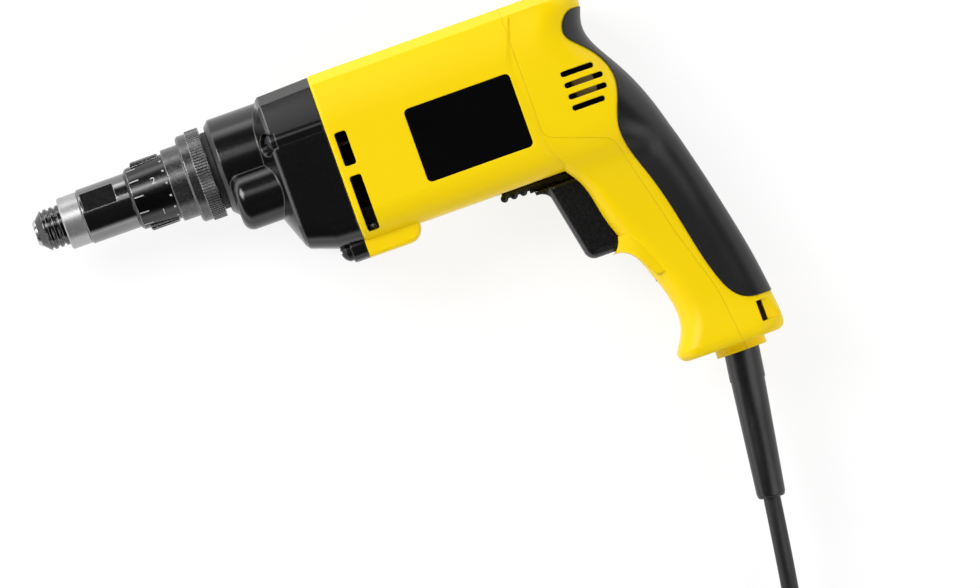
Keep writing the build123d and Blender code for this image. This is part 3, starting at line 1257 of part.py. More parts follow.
def coil_stations():
    """Half turns of the coil: in along the floor, up a layer at the middle, and out again."""
    inward = 2 * COIL_TURNS
    radii = [COIL_INNER + COIL_PITCH * (inward - number) / 2 for number in range(inward + 1)]
    radii.append(COIL_INNER - COIL_PITCH / 2)
    radii += [COIL_INNER + COIL_PITCH * number / 2 for number in range(1, inward + 1)]
    heights = [0.0] * (inward + 1) + [COIL_PITCH] * (inward + 1)
    return [(radius * (-1) ** number, heights[number]) for number, radius in enumerate(radii)]


def coil_centre():
    """The middle of the coil on the floor."""
    outer = COIL_INNER + COIL_PITCH * COIL_TURNS
    return (COIL_ENTRY[0] - outer, COIL_ENTRY[1] - CORD_DIAMETER)


def cord_coil():
    """The tied coil of the cord that is put away."""
    tube, path = wound_tube(coil_stations(), Circle(CORD_RADIUS), CORD_DIAMETER, PLUG_LEAD)
    spots = [path @ (number / 1200) for number in range(1201)]
    apart = int(4 * CORD_DIAMETER / path.length * 1200)
    least = min(
        (a - b).length for n, a in enumerate(spots[::2]) for b in spots[2 * n + apart::2]
    )
    print("coil gap", round(least - CORD_DIAMETER, 2), "coil length", round(path.length))
    return Pos(*coil_centre(), COIL_Z) * tube, path.length


def cord_tie():
    """The strap round the coil, on the side towards the tool."""
    x, y = coil_centre()
    inner = y + COIL_INNER - CORD_RADIUS - 3.0
    outer = y + COIL_INNER + COIL_PITCH * (COIL_TURNS - 0.5) + CORD_RADIUS
    low, high = COIL_Z - CORD_RADIUS - 0.1, COIL_Z + COIL_PITCH + CORD_RADIUS + 0.4
    half = TIE_WIDTH / 2
    strap = block(x - half, x + half, inner - TIE_THICKNESS, outer + TIE_THICKNESS,
                  low - TIE_THICKNESS, high + TIE_THICKNESS)
    strap = fillet(strap.edges().filter_by(Axis.X), 4.0)
    room = fillet(block(x - half, x + half, inner, outer, low, high).edges().filter_by(Axis.X), 3.0)
    return strap - room


def plug_place():
    """The end of the coil, where the plug starts."""
    x, y = coil_centre()
    return (x - COIL_INNER - COIL_PITCH * COIL_TURNS, y + PLUG_LEAD, COIL_Z + COIL_PITCH)


def plug_body():
    """The moulded plug: a neck, a waist and a broad face."""
    x, y, z = plug_place()
    drop = z - FLOOR_Z
    sections = []
    for distance, wide, high in ((0, 6.0, 6.0), (14, 7.0, 7.0), (24, PLUG_HALF_WIDTH - 1, drop - 1),
                                 (PLUG_LENGTH, PLUG_HALF_WIDTH, drop)):
        level = Plane((x, y + distance, z), x_dir=(1, 0, 0), z_dir=(0, 1, 0))
        sections.append(level * RectangleRounded(2 * wide, 2 * high, 0.6 * wide))
    return loft(sections, ruled=True)


def plug_pins():
    """The two flat blades of the plug."""
    x, y, z = plug_place()
    start = y + PLUG_LENGTH
    pins = []
    for way in (1, -1):
        height = z + way * PIN_GAP / 2
        pin = block(x - PIN_WIDTH / 2, x + PIN_WIDTH / 2, start, start + PIN_LENGTH,
                    height - PIN_THICKNESS / 2, height + PIN_THICKNESS / 2)
        pins.append(chamfer(pin.faces().sort_by(Axis.Y)[-1].edges(), 0.5))
    return Compound(pins)


def trigger_spring():
    """The spring round the plunger that returns the trigger."""
    length = SWITCH_BOX[0] - TRIGGER_BACK - 1.0
    return Pos(*plunger_place()) * Rot(0, 90, 0) * spring(PLUNGER_RADIUS + 1.4, 0.7, length, 4)


def build():
    """All pieces by name."""
    housing, cover, skin = shell_pieces()
    lead, lead_length = cord_lead()
    coil, coil_length = cord_coil()
    print("cord length", round(lead_length + coil_length))
    plate_bush = PLATE_X + PLATE_THICKNESS - IDLER_BUSH_LENGTH - 1
    return {
        "motor_housing": housing,
        "rear_cover": cover,
        "rear_grip": skin,
        "gear_case": gear_case(),
        "bearing_plate": bearing_plate(),
        "gear_case_screws": long_screws(),
        "cover_screw": cover_screw(),
        "name_plate": name_plate(),
        "dust_seal": dust_seal(),
        "adjusting_ring": adjusting_ring(),
        "scale_sleeve": scale_sleeve(),
        "nose_barrel": nose_barrel(),
        "nose_band": nose_band(),
        "release_sleeve": release_sleeve(),
        "release_spring": release_spring(),
        "release_clip": release_clip(),
        "detent_ball": detent_ball(),
        "spindle": spindle(),
        "nose_bush": nose_bush(),
        "rear_bush": rear_bush(),
        "spring_nut": spring_nut(),
        "clutch_spring": clutch_spring(),
        "clutch_disc": clutch_disc(),
        "drive_gear": drive_gear(),
        "thrust_washer": thrust_washer(),
        "idler_pinion": idler_pinion(),
        "idler_gear": idler_gear(),
        "idler_front_bush": idler_bush(BUMP_FRONT + GEAR_CASE_WALL + 2, IDLER_BUSH_LENGTH),
        "idler_rear_bush": idler_bush(plate_bush, IDLER_BUSH_LENGTH),
        "armature_shaft": armature_shaft(),
        "armature_core": armature_core(),
        "armature_windings": armature_windings(),
        "commutator": commutator(),
        "cooling_fan": cooling_fan(),
        "front_bearing": bearing(PLATE_X + PLATE_THICKNESS - BEARING_WIDTH, FRONT_BEARING_BORE),
        "rear_bearing": bearing(REAR_BEARING_X, REAR_BEARING_BORE),
        "field_core": field_core(),
        "field_coils": field_coils(),
        "fan_baffle": fan_baffle(),
        "end_bracket": end_bracket(),
        "brush_holders": brush_holders(),
        "brushes": brushes(),
        "brush_springs": brush_springs(),
        "trigger": trigger(),
        "trigger_spring": trigger_spring(),
        "switch_body": switch_body(),
        "reverse_lever": reverse_lever(),
        "cord_protector": protector(),
        "cord_clamp": cord_clamp(),
        "clamp_screws": clamp_screws(),
        "cord_lead": lead,
        "cord_coil": coil,
        "cord_tie": cord_tie(),
        "plug_body": plug_body(),
        "plug_pins": plug_pins(),
    }


os.makedirs("parts", exist_ok=True)
for name, shape in build().items():
    export_step(shape, f"parts/{name}.step")
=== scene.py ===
import math

import bpy
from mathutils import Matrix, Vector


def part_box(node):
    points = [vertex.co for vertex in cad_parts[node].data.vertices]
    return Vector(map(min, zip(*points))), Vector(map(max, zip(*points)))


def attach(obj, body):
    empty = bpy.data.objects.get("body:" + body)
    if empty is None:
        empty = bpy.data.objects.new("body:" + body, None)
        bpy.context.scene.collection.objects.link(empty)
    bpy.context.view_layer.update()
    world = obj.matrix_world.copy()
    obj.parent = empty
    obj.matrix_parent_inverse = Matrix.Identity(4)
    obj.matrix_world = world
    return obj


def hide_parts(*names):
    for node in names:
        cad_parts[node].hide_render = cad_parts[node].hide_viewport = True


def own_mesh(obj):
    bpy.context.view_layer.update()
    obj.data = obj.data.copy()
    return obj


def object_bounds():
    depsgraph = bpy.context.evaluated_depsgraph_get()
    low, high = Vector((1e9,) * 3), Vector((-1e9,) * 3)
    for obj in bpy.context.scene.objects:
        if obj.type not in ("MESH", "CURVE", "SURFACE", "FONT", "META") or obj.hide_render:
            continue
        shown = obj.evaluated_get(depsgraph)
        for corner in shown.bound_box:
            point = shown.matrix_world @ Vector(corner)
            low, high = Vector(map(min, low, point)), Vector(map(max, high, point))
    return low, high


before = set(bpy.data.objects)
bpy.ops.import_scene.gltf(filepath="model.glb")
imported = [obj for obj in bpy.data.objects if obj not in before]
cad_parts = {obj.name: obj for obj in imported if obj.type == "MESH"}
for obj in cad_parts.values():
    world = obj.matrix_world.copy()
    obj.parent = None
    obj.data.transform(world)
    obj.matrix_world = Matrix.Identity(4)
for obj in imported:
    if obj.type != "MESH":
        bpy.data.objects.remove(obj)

cad_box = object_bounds()


# Motor
# A commutator motor sits inside the housing: iron stacks of thin sheets, enamelled copper wire,
# a moulded fan and a carbon brush on each side, pressed together and held by the end bracket.
MM = 0.001
PATCH_DETAIL = 3.0
GRAIN_DETAIL = 2.0
GRAIN_RANGE = (0.3, 0.7)
EDGE_SAMPLES = 6
EDGE_TURN = 0.1


def new_material(name, colour, roughness, metallic=0.0):
    """A material whose shader holds the values that are the same all over."""
    material = bpy.data.materials.new(name)
    material.use_nodes = True
    shader = material.node_tree.nodes["Principled BSDF"]
    shader.inputs["Base Color"].default_value = (*colour, 1.0)
    shader.inputs["Roughness"].default_value = roughness
    shader.inputs["Metallic"].default_value = metallic
    return material, shader


def new_group(name, inputs, outputs):
    """An empty node group with named sockets, and its two end nodes."""
    group = bpy.data.node_groups.new(name, "ShaderNodeTree")
    for way, sockets in (("INPUT", inputs), ("OUTPUT", outputs)):
        for socket, kind in sockets:
            group.interface.new_socket(socket, in_out=way, socket_type="NodeSocket" + kind)
    return group, group.nodes.new("NodeGroupInput"), group.nodes.new("NodeGroupOutput")


def mottle_group():
    """Broad and fine noise on the piece's own coordinates: a colour, a roughness and a height."""
    group, given, made = new_group(
        "mottle",
        [("Colour", "Color"), ("Second Colour", "Color"), ("Patch Scale", "Float"),
         ("Grain Scale", "Float"), ("Smooth", "Float"), ("Rough", "Float")],
        [("Colour", "Color"), ("Roughness", "Float"), ("Height", "Float")],
    )
    nodes, link = group.nodes, group.links.new
    place = nodes.new("ShaderNodeTexCoord")
    patch, grain = nodes.new("ShaderNodeTexNoise"), nodes.new("ShaderNodeTexNoise")
    blend, spread = nodes.new("ShaderNodeMix"), nodes.new("ShaderNodeMapRange")
    blend.data_type = "RGBA"
    patch.inputs["Detail"].default_value = PATCH_DETAIL
    grain.inputs["Detail"].default_value = GRAIN_DETAIL
    spread.inputs["From Min"].default_value, spread.inputs["From Max"].default_value = GRAIN_RANGE
    for noise, scale in ((patch, "Patch Scale"), (grain, "Grain Scale")):
        link(place.outputs["Object"], noise.inputs["Vector"])
        link(given.outputs[scale], noise.inputs["Scale"])
    link(patch.outputs["Fac"], blend.inputs["Factor"])
    link(given.outputs["Colour"], blend.inputs["A"])
    link(given.outputs["Second Colour"], blend.inputs["B"])
    link(grain.outputs["Fac"], spread.inputs["Value"])
    link(given.outputs["Smooth"], spread.inputs["To Min"])
    link(given.outputs["Rough"], spread.inputs["To Max"])
    link(blend.outputs["Result"], made.inputs["Colour"])
    link(spread.outputs["Result"], made.inputs["Roughness"])
    link(grain.outputs["Fac"], made.inputs["Height"])
    return group


def soft_edge_group():
    """Rounds edges to the eye: a normal that turns over the edge, and a mask that is 1 along it."""
    group, given, made = new_group(
        "soft_edge", [("Radius", "Float")], [("Normal", "Vector"), ("Edge", "Float")]
    )
    nodes, link = group.nodes, group.links.new
    rounded, surface = nodes.new("ShaderNodeBevel"), nodes.new("ShaderNodeNewGeometry")
    agreement, mask = nodes.new("ShaderNodeVectorMath"), nodes.new("ShaderNodeMapRange")
    rounded.samples = EDGE_SAMPLES
    agreement.operation = "DOT_PRODUCT"
    mask.inputs["From Min"].default_value = 1.0
    mask.inputs["From Max"].default_value = 1.0 - EDGE_TURN
    link(given.outputs["Radius"], rounded.inputs["Radius"])
    link(rounded.outputs["Normal"], agreement.inputs[0])
    link(surface.outputs["Normal"], agreement.inputs[1])
    link(agreement.outputs["Value"], mask.inputs["Value"])
    link(rounded.outputs["Normal"], made.inputs["Normal"])
    link(mask.outputs["Result"], made.inputs["Edge"])
    return group


MOTTLE = mottle_group()
SOFT_EDGE = soft_edge_group()


def mottled(name, colour, second, roughness, patch=60.0, grain=900.0, bump=0.00002,
            metallic=0.0, edge=0.0, edge_highlight=None, shine=0.5):
    """Uneven colour, gloss between two values and a fine grain; edges rounded in the shading, with
    a painted highlight along them if asked.
    """
    smooth, rough = roughness
    material, shader = new_material(name, colour, rough, metallic)
    shader.inputs["Specular IOR Level"].default_value = shine
    nodes, link = material.node_tree.nodes, material.node_tree.links.new
    effect, relief = nodes.new("ShaderNodeGroup"), nodes.new("ShaderNodeBump")
    effect.node_tree = MOTTLE
    for socket, value in (
        ("Colour", (*colour, 1.0)), ("Second Colour", (*second, 1.0)), ("Patch Scale", patch),
        ("Grain Scale", grain), ("Smooth", smooth), ("Rough", rough),
    ):
        effect.inputs[socket].default_value = value
    relief.inputs["Distance"].default_value = bump
    relief.inputs["Strength"].default_value = 1.0
    tint = effect.outputs["Colour"]
    if edge:
        broken = nodes.new("ShaderNodeGroup")
        broken.node_tree = SOFT_EDGE
        broken.inputs["Radius"].default_value = edge
        link(broken.outputs["Normal"], relief.inputs["Normal"])
        # Painted highlight: the edge mask mixes a lighter colour in along every edge, the inner
        # ones too.
        if edge_highlight:
            painted_highlight = nodes.new("ShaderNodeMix")
            painted_highlight.data_type = "RGBA"
            painted_highlight.inputs["B"].default_value = (*edge_highlight, 1.0)
            link(broken.outputs["Edge"], painted_highlight.inputs["Factor"])
            link(tint, painted_highlight.inputs["A"])
            tint = painted_highlight.outputs["Result"]
    link(tint, shader.inputs["Base Color"])
    link(effect.outputs["Roughness"], shader.inputs["Roughness"])
    link(effect.outputs["Height"], relief.inputs["Height"])
    link(relief.outputs["Normal"], shader.inputs["Normal"])
    return material


def dress(material, *names):
    """Gives CAD nodes their finish."""
    for name in names:
        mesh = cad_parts[name].data
        mesh.materials.clear()
        mesh.materials.append(material)


stacked_iron = mottled("stacked_iron", (0.22, 0.22, 0.23), (0.16, 0.16, 0.17),
                       roughness=(0.4, 0.6), metallic=1.0)
dress(stacked_iron, "armature_core", "field_core")
enamelled_copper = mottled("enamelled_copper", (0.45, 0.16, 0.06), (0.36, 0.11, 0.04),
                           roughness=(0.3, 0.45), metallic=0.6)
dress(enamelled_copper, "armature_windings", "field_coils")
commutator_copper = mottled("commutator_copper", (0.75, 0.38, 0.22), (0.55, 0.27, 0.15),
                            roughness=(0.25, 0.4), metallic=1.0)
dress(commutator_copper, "commutator")
inner_moulding = mottled("inner_moulding", (0.02, 0.02, 0.02), (0.014, 0.014, 0.0145),
                         roughness=(0.45, 0.6))
dress(inner_moulding, "cooling_fan", "fan_baffle", "end_bracket", "switch_body", "cord_clamp")
carbon = mottled("carbon", (0.03, 0.03, 0.03), (0.05, 0.05, 0.05), roughness=(0.5, 0.7))
dress(carbon, "brushes")
brush_brass = mottled("brush_brass", (0.75, 0.55, 0.22), (0.62, 0.43, 0.16),
                      roughness=(0.3, 0.45), metallic=1.0)
dress(brush_brass, "brush_holders")

# Air guides
# Two thin moulded ribs stand on the housing's floor beside the fan and lead its air out through
# the front vents. Each is held to the baffle plate's foot by a bright rivet.
HANDS = (("left", 1), ("right", -1))
SMOOTH_ANGLE = math.radians(40)
GUIDE_SIDE = 12.0 * MM
GUIDE_THICKNESS = 1.6 * MM
GUIDE_LENGTH = 12.5 * MM
GUIDE_ROOM = 1.2 * MM
GUIDE_EDGE = GUIDE_THICKNESS / 4
GUIDE_EDGE_STEPS = 2
RIVET_RADIUS = 2.4 * MM
RIVET_HEIGHT = 1.2 * MM
RIVET_PLACE = (147.5 * MM, -48.9 * MM)
RIVET_SIDES = 32
RIVET_RINGS = 16


def raw_block(name, size, centre):
    """A plain block in its place on the part, from which a piece is shaped."""
    bpy.ops.object.select_all(action="DESELECT")
    bpy.ops.mesh.primitive_cube_add(size=1.0)
    block = bpy.context.object
    block.name = name
    block.scale = size
    block.location = centre
    bpy.ops.object.transform_apply(location=True, rotation=True, scale=True)
    return block


def moulded_block(name, size, centre, edge, edge_steps, material):
    """A block with rounded edges."""
    block = raw_block(name, size, centre)
    bpy.ops.object.mode_set(mode="EDIT")
    bpy.ops.mesh.select_all(action="SELECT")
    bpy.ops.mesh.bevel(offset=edge, segments=edge_steps)
    bpy.ops.object.mode_set(mode="OBJECT")
    block.data.materials.append(material)
    return block


fan_low, fan_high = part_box("cooling_fan")
baffle_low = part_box("fan_baffle")[0]
fan_radius = (fan_high.y - fan_low.y) / 2
inner_face = GUIDE_SIDE - GUIDE_THICKNESS / 2
guide_top = fan_high.y - fan_radius - math.sqrt((fan_radius + GUIDE_ROOM) ** 2 - inner_face ** 2)
rivet_steel = mottled("rivet_steel", (0.5, 0.5, 0.5), (0.35, 0.35, 0.35),
                      roughness=(0.25, 0.4), metallic=1.0)
for hand, side in HANDS:
    guide = moulded_block(
        f"air_guide_{hand}",
        (GUIDE_LENGTH, guide_top - baffle_low.y, GUIDE_THICKNESS),
        (baffle_low.x - GUIDE_LENGTH / 2, (guide_top + baffle_low.y) / 2, side * GUIDE_SIDE),
        GUIDE_EDGE, GUIDE_EDGE_STEPS, inner_moulding)
    bpy.ops.object.shade_smooth_by_angle(angle=SMOOTH_ANGLE)
    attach(guide, "tool")
    bpy.ops.object.select_all(action="DESELECT")
    bpy.ops.mesh.primitive_uv_sphere_add(
        segments=RIVET_SIDES, ring_count=RIVET_RINGS, radius=RIVET_RADIUS)
    rivet = bpy.context.object
    rivet.name = f"guide_rivet_{hand}"
    bpy.ops.object.mode_set(mode="EDIT")
    bpy.ops.mesh.select_all(action="SELECT")
    bpy.ops.mesh.bisect(plane_co=(0.0, 0.0, 0.0), plane_no=(0.0, 0.0, -side),
                        clear_outer=True, use_fill=True)
    bpy.ops.object.mode_set(mode="OBJECT")
    rivet.scale.z = RIVET_HEIGHT / RIVET_RADIUS
    rivet.location = (*RIVET_PLACE, side * (GUIDE_SIDE + GUIDE_THICKNESS / 2))
    bpy.ops.object.transform_apply(location=True, rotation=True, scale=True)
    bpy.ops.object.shade_smooth_by_angle(angle=SMOOTH_ANGLE)
    rivet.data.materials.append(rivet_steel)
    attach(rivet, "tool")

# Lead blocks
# Two grey moulded blocks stand out from the bracket's guard, one on each side, and keep the brush
# leads apart. Their ends show through the middle vents at the rear.
BLOCK_LOW = (254.8 * MM, -25.4 * MM)
BLOCK_HIGH = (265.4 * MM, -16.4 * MM)
BLOCK_ROOT = 1.0 * MM
BLOCK_END = 27.5 * MM
BLOCK_ROUND = 1.6 * MM
BLOCK_ROUND_STEPS = 4
block_grey = mottled("block_grey", (0.42, 0.42, 0.42), (0.3, 0.3, 0.3),
                     roughness=(0.4, 0.55), patch=180.0)
for hand, side in HANDS:
    lead_block = moulded_block(
        f"lead_block_{hand}",
        (BLOCK_HIGH[0] - BLOCK_LOW[0], BLOCK_HIGH[1] - BLOCK_LOW[1], BLOCK_END - BLOCK_ROOT),
        ((BLOCK_LOW[0] + BLOCK_HIGH[0]) / 2, (BLOCK_LOW[1] + BLOCK_HIGH[1]) / 2,
         side * (BLOCK_ROOT + BLOCK_END) / 2),
        BLOCK_ROUND, BLOCK_ROUND_STEPS, block_grey)
    bpy.ops.object.shade_smooth_by_angle(angle=SMOOTH_ANGLE)
    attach(lead_block, "tool")

# Gear train and clutch
# Hardened steel gears and shafts run in sintered bronze bushes and in ball bearings. They are
# closed in by the gear case, and the bearing plate across it is a bare light-alloy casting.
ground_steel = mottled("ground_steel", (0.58, 0.58, 0.59), (0.5, 0.5, 0.52),
                       roughness=(0.22, 0.36), metallic=1.0)
dress(ground_steel, "armature_shaft", "front_bearing", "rear_bearing", "idler_pinion",
      "idler_gear", "drive_gear", "thrust_washer", "clutch_disc", "spring_nut", "detent_ball",
      "release_clip", "spindle")
sintered_bronze = mottled("sintered_bronze", (0.55, 0.4, 0.2), (0.42, 0.3, 0.14),
                          roughness=(0.4, 0.6), metallic=1.0)
dress(sintered_bronze, "idler_front_bush", "idler_rear_bush", "rear_bush", "nose_bush")
bare_casting = mottled("bare_casting", (0.5, 0.5, 0.51), (0.42, 0.42, 0.43),
                       roughness=(0.45, 0.6), metallic=1.0)
dress(bare_casting, "bearing_plate")

# Coil springs
# Wound from round steel wire with closed ends. Each stands against a fixed seat at its rear end
# and is pushed together by the piece in front of it: the nut, the release sleeve or the trigger.
# Here each keeps one shape and rides with its body.
SPRINGS = (("clutch_spring", "tool", "nut_slide"), ("release_spring", "output", "sleeve_pull"),
           ("trigger_spring", "tool", "trigger_pull"))
MERGE_DISTANCE = 0.001 * MM
spring_wire = mottled("spring_wire", (0.3, 0.3, 0.31), (0.22, 0.22, 0.24),
                      roughness=(0.3, 0.45), metallic=1.0)
dress(spring_wire, "brush_springs")
for node, body, joint in SPRINGS:
    spring = bpy.data.objects.new(f"{node}_wire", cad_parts[node].data.copy())
    bpy.context.scene.collection.objects.link(spring)
    bpy.ops.object.select_all(action="DESELECT")
    spring.select_set(True)
    bpy.context.view_layer.objects.active = spring
    bpy.ops.object.mode_set(mode="EDIT")
    bpy.ops.mesh.select_all(action="SELECT")
    bpy.ops.mesh.remove_doubles(threshold=MERGE_DISTANCE)
    bpy.ops.object.mode_set(mode="OBJECT")
    bpy.ops.object.shade_smooth_by_angle(angle=SMOOTH_ANGLE)
    spring.data.materials.clear()
    spring.data.materials.append(spring_wire)
    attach(spring, body)
    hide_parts(node)
    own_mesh(spring)

# Gear case
# A die-cast case with a stoved black coat that is smooth enough to shine on its edges. Four long
# screws with domed heads hold it to the housing, two at the sides and two in the foot.
CASE_EDGE = 1.1 * MM
SCREW_EDGE = 0.4 * MM
# The coat is lightened along its edges with a painted highlight, on top of their real shine.
case_coat = mottled("case_coat", (0.003, 0.003, 0.0032), (0.005, 0.005, 0.0052),
                    roughness=(0.16, 0.21), grain=700.0, bump=0.000002, edge=CASE_EDGE,
                    edge_highlight=(0.06, 0.06, 0.06), shine=0.6)
dress(case_coat, "gear_case")
# The screw heads get a painted highlight along their edges.
blackened_screw = mottled("blackened_screw", (0.05, 0.05, 0.055), (0.03, 0.03, 0.034),
                          roughness=(0.25, 0.42), metallic=1.0, edge=SCREW_EDGE,
                          edge_highlight=(0.3, 0.3, 0.3))
dress(blackened_screw, "gear_case_screws", "cover_screw", "clamp_screws")
seal_rubber = mottled("seal_rubber", (0.012, 0.012, 0.012), (0.02, 0.02, 0.02),
                      roughness=(0.55, 0.7))
dress(seal_rubber, "dust_seal")

# Nose
# Turned steel: a bright band and a blackened barrel, the ribbed release sleeve at the tip, and the
# adjusting ring with its straight-cut grip. Barrel, tip and ring get a painted highlight on their
# edges.
TURNED_EDGE = 0.35 * MM
bright_band = mottled("bright_band", (0.46, 0.46, 0.46), (0.4, 0.4, 0.403),
                      roughness=(0.32, 0.4), patch=240.0, metallic=0.8, edge=TURNED_EDGE)
dress(bright_band, "nose_band")
blackened_barrel = mottled("blackened_barrel", (0.25, 0.25, 0.255), (0.19, 0.19, 0.194),
                           roughness=(0.1, 0.16), patch=220.0, bump=0.000003, metallic=1.0,
                           edge=TURNED_EDGE, edge_highlight=(0.3, 0.3, 0.3))
dress(blackened_barrel, "nose_barrel")
tip_black = mottled("tip_black", (0.11, 0.11, 0.112), (0.07, 0.07, 0.072),
                    roughness=(0.12, 0.2), patch=220.0, bump=0.000003, metallic=1.0,
                    edge=TURNED_EDGE, edge_highlight=(0.4, 0.4, 0.4))
dress(tip_black, "release_sleeve")
ring_steel = mottled("ring_steel", (0.16, 0.16, 0.163), (0.07, 0.07, 0.072),
                     roughness=(0.22, 0.34), patch=420.0, metallic=0.9,
                     edge=TURNED_EDGE, edge_highlight=(0.42, 0.42, 0.42))
dress(ring_steel, "adjusting_ring")

# Scale sleeve
# A black sleeve in front of the ring. Its scale is printed in white: ticks at even steps round the
# sleeve, plain numbers behind them, and a row of dots along the rear edge.
SLEEVE_FRONT_RADIUS = 14.7 * MM
SLEEVE_REAR_RADIUS = 15.6 * MM
PRINT_LIFT = 0.05 * MM
PRINT_DEPTH = 0.1 * MM
PRINT_CUTS = 3
TICK_X, TICK_SIZE, TICK_STEP = 51.0 * MM, (4.4 * MM, 0.55 * MM), 30
NUMBER_X, NUMBER_HEIGHT = 59.6 * MM, 4.6 * MM
NUMBER_TURNS = (318, 18, 138, 198)
DOT_X, DOT_SIZE, DOT_START, DOT_STEP = 65.1 * MM, (1.0 * MM, 1.0 * MM), 7, 22.5
RIB_TURNS = (90, 270)
RIB_ROOM = 24
# The sleeve's edges get a strong painted highlight, which shows most as a bright front rim.
scale_black = mottled("scale_black", (0.07, 0.07, 0.071), (0.05, 0.05, 0.051),
                      roughness=(0.18, 0.24), bump=0.000003, metallic=1.0,
                      edge=TURNED_EDGE, edge_highlight=(0.75, 0.75, 0.75))
dress(scale_black, "scale_sleeve")
sleeve_low, sleeve_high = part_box("scale_sleeve")


def lay_on_sleeve(mark, x, turn):
    """Bends a flat mark round the sleeve, a hair above its surface."""
    for vertex in mark.data.vertices:
        along = x + vertex.co.x
        share = (along - sleeve_low.x) / (sleeve_high.x - sleeve_low.x)
        radius = SLEEVE_FRONT_RADIUS * (1 - share) + SLEEVE_REAR_RADIUS * share + PRINT_LIFT
        angle = math.radians(turn) + vertex.co.y / radius
        vertex.co = (along, radius * math.sin(angle), radius * math.cos(angle))


def cut_up():
    """Divides the active flat mark so that it can bend."""
    bpy.ops.object.mode_set(mode="EDIT")
    bpy.ops.mesh.select_all(action="SELECT")
    bpy.ops.mesh.quads_convert_to_tris()
    bpy.ops.mesh.subdivide(number_cuts=PRINT_CUTS)
    bpy.ops.object.mode_set(mode="OBJECT")


def printed_patch(x, turn, size):
    """A printed rectangle."""
    bpy.ops.object.select_all(action="DESELECT")
    bpy.ops.mesh.primitive_plane_add(size=1.0)
    patch = bpy.context.object
    patch.scale = (*size, 1.0)
    bpy.ops.object.transform_apply(location=False, rotation=False, scale=True)
    cut_up()
    lay_on_sleeve(patch, x, turn)
    return patch


def printed_number(x, turn, digit):
    """A printed number that stands upright when the tool lies on its side."""
    bpy.ops.object.select_all(action="DESELECT")
    bpy.ops.object.text_add()
    number = bpy.context.object
    number.data.body = str(digit)
    number.data.size = NUMBER_HEIGHT
    number.data.align_x, number.data.align_y = "CENTER", "CENTER"
    bpy.ops.object.convert(target="MESH")
    number = bpy.context.object
    cut_up()
    lay_on_sleeve(number, x, turn)
    return number


def clear_of_ribs(turn):
    """True where the sleeve has no finger ribs."""
    return all(abs((turn - rib + 180) % 360 - 180) > RIB_ROOM for rib in RIB_TURNS)


def thicken(sheet, thickness):
    """Gives the active sheet a body, inwards from its face."""
    body = sheet.modifiers.new("body", "SOLIDIFY")
    body.thickness = thickness
    body.offset = -1.0
    bpy.ops.object.modifier_apply(modifier=body.name)


ticks = [turn for turn in range(0, 360, TICK_STEP) if clear_of_ribs(turn)]
dots = [DOT_START + DOT_STEP * number for number in range(int(360 / DOT_STEP))]
marks = [printed_patch(TICK_X, turn, TICK_SIZE) for turn in ticks]
marks += [printed_number(NUMBER_X, turn, digit + 1) for digit, turn in enumerate(NUMBER_TURNS)]
marks += [printed_patch(DOT_X, turn, DOT_SIZE) for turn in dots if clear_of_ribs(turn)]
bpy.ops.object.select_all(action="DESELECT")
for mark in marks:
    mark.select_set(True)
bpy.context.view_layer.objects.active = marks[0]
bpy.ops.object.join()
scale_marks = bpy.context.object
scale_marks.name = "scale_marks"
thicken(scale_marks, PRINT_DEPTH)
white_print = mottled("white_print", (0.62, 0.62, 0.6), (0.36, 0.36, 0.35),
                      roughness=(0.4, 0.6), patch=500.0)
scale_marks.data.materials.clear()
scale_marks.data.materials.append(white_print)
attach(scale_marks, "adjuster")

# Housing and rear cover
# Injection-moulded in glass-filled nylon, dyed yellow right through, with a fine spark-eroded
# grain. The cover is screwed to the housing along a seam in front of the grip.
SHELL_EDGE = 0.9 * MM
yellow_nylon = mottled("yellow_nylon", (0.975, 0.695, 0.0), (0.955, 0.67, 0.0),
                       roughness=(0.34, 0.44), patch=22.0, grain=1500.0, bump=0.00001,
                       edge=SHELL_EDGE, shine=0.2)
dress(yellow_nylon, "motor_housing", "rear_cover")

# Rubber grip
# A soft black rubber skin moulded on the back of the rear cover, from the barrel's end down to
# the foot of the handle. It is satin, with a fine leathery grain.
grip_rubber = mottled("grip_rubber", (0.004, 0.004, 0.0042), (0.007, 0.007, 0.0072),
                      roughness=(0.36, 0.46), grain=1100.0, bump=0.00001, edge=SHELL_EDGE,
                      shine=0.4)
dress(grip_rubber, "rear_grip")

# Plate
# A thin plate with rounded corners, let in flush on the housing's left side. It is smooth and
# black, and is left bare.
bare_plate = mottled("bare_plate", (0.0015, 0.0015, 0.0015), (0.0025, 0.0025, 0.0025),
                     roughness=(0.2, 0.24), grain=300.0, bump=0.000002, shine=0.1)
dress(bare_plate, "name_plate")

# Trigger and reverse lever
# Moulded in hard black nylon, smooth from use. The trigger slides back into the handle on its
# plunger, and the lever above it swings on a pin to either side.
CONTROL_EDGE = 2.4 * MM
control_black = mottled("control_black", (0.003, 0.003, 0.0032), (0.005, 0.005, 0.0052),
                        roughness=(0.22, 0.3), bump=0.000004, edge=CONTROL_EDGE, shine=0.65)
dress(control_black, "trigger", "reverse_lever")

# Lever glides
# Thin black felt strips are glued over and under the reverse lever. They take up the play between
# the housing's floor and the trigger, and keep dust out.
GLIDE_HALF = 2.6 * MM
GLIDE_EDGE = 0.04 * MM
GLIDE_EDGE_STEPS = 2
GLIDES = (("upper", 208.0, 245.0, -54.7, -54.36), ("lower", 224.0, 245.0, -58.86, -58.7))
black_felt = mottled("black_felt", (0.006, 0.006, 0.006), (0.01, 0.01, 0.01),
                     roughness=(0.8, 0.95), grain=2000.0, bump=0.00005)
for level, front, back, low, high in GLIDES:
    glide = moulded_block(
        f"lever_glide_{level}",
        ((back - front) * MM, (high - low) * MM, GLIDE_HALF * 2),
        ((front + back) / 2 * MM, (low + high) / 2 * MM, 0.0),
        GLIDE_EDGE, GLIDE_EDGE_STEPS, black_felt)
    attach(glide, "lever")

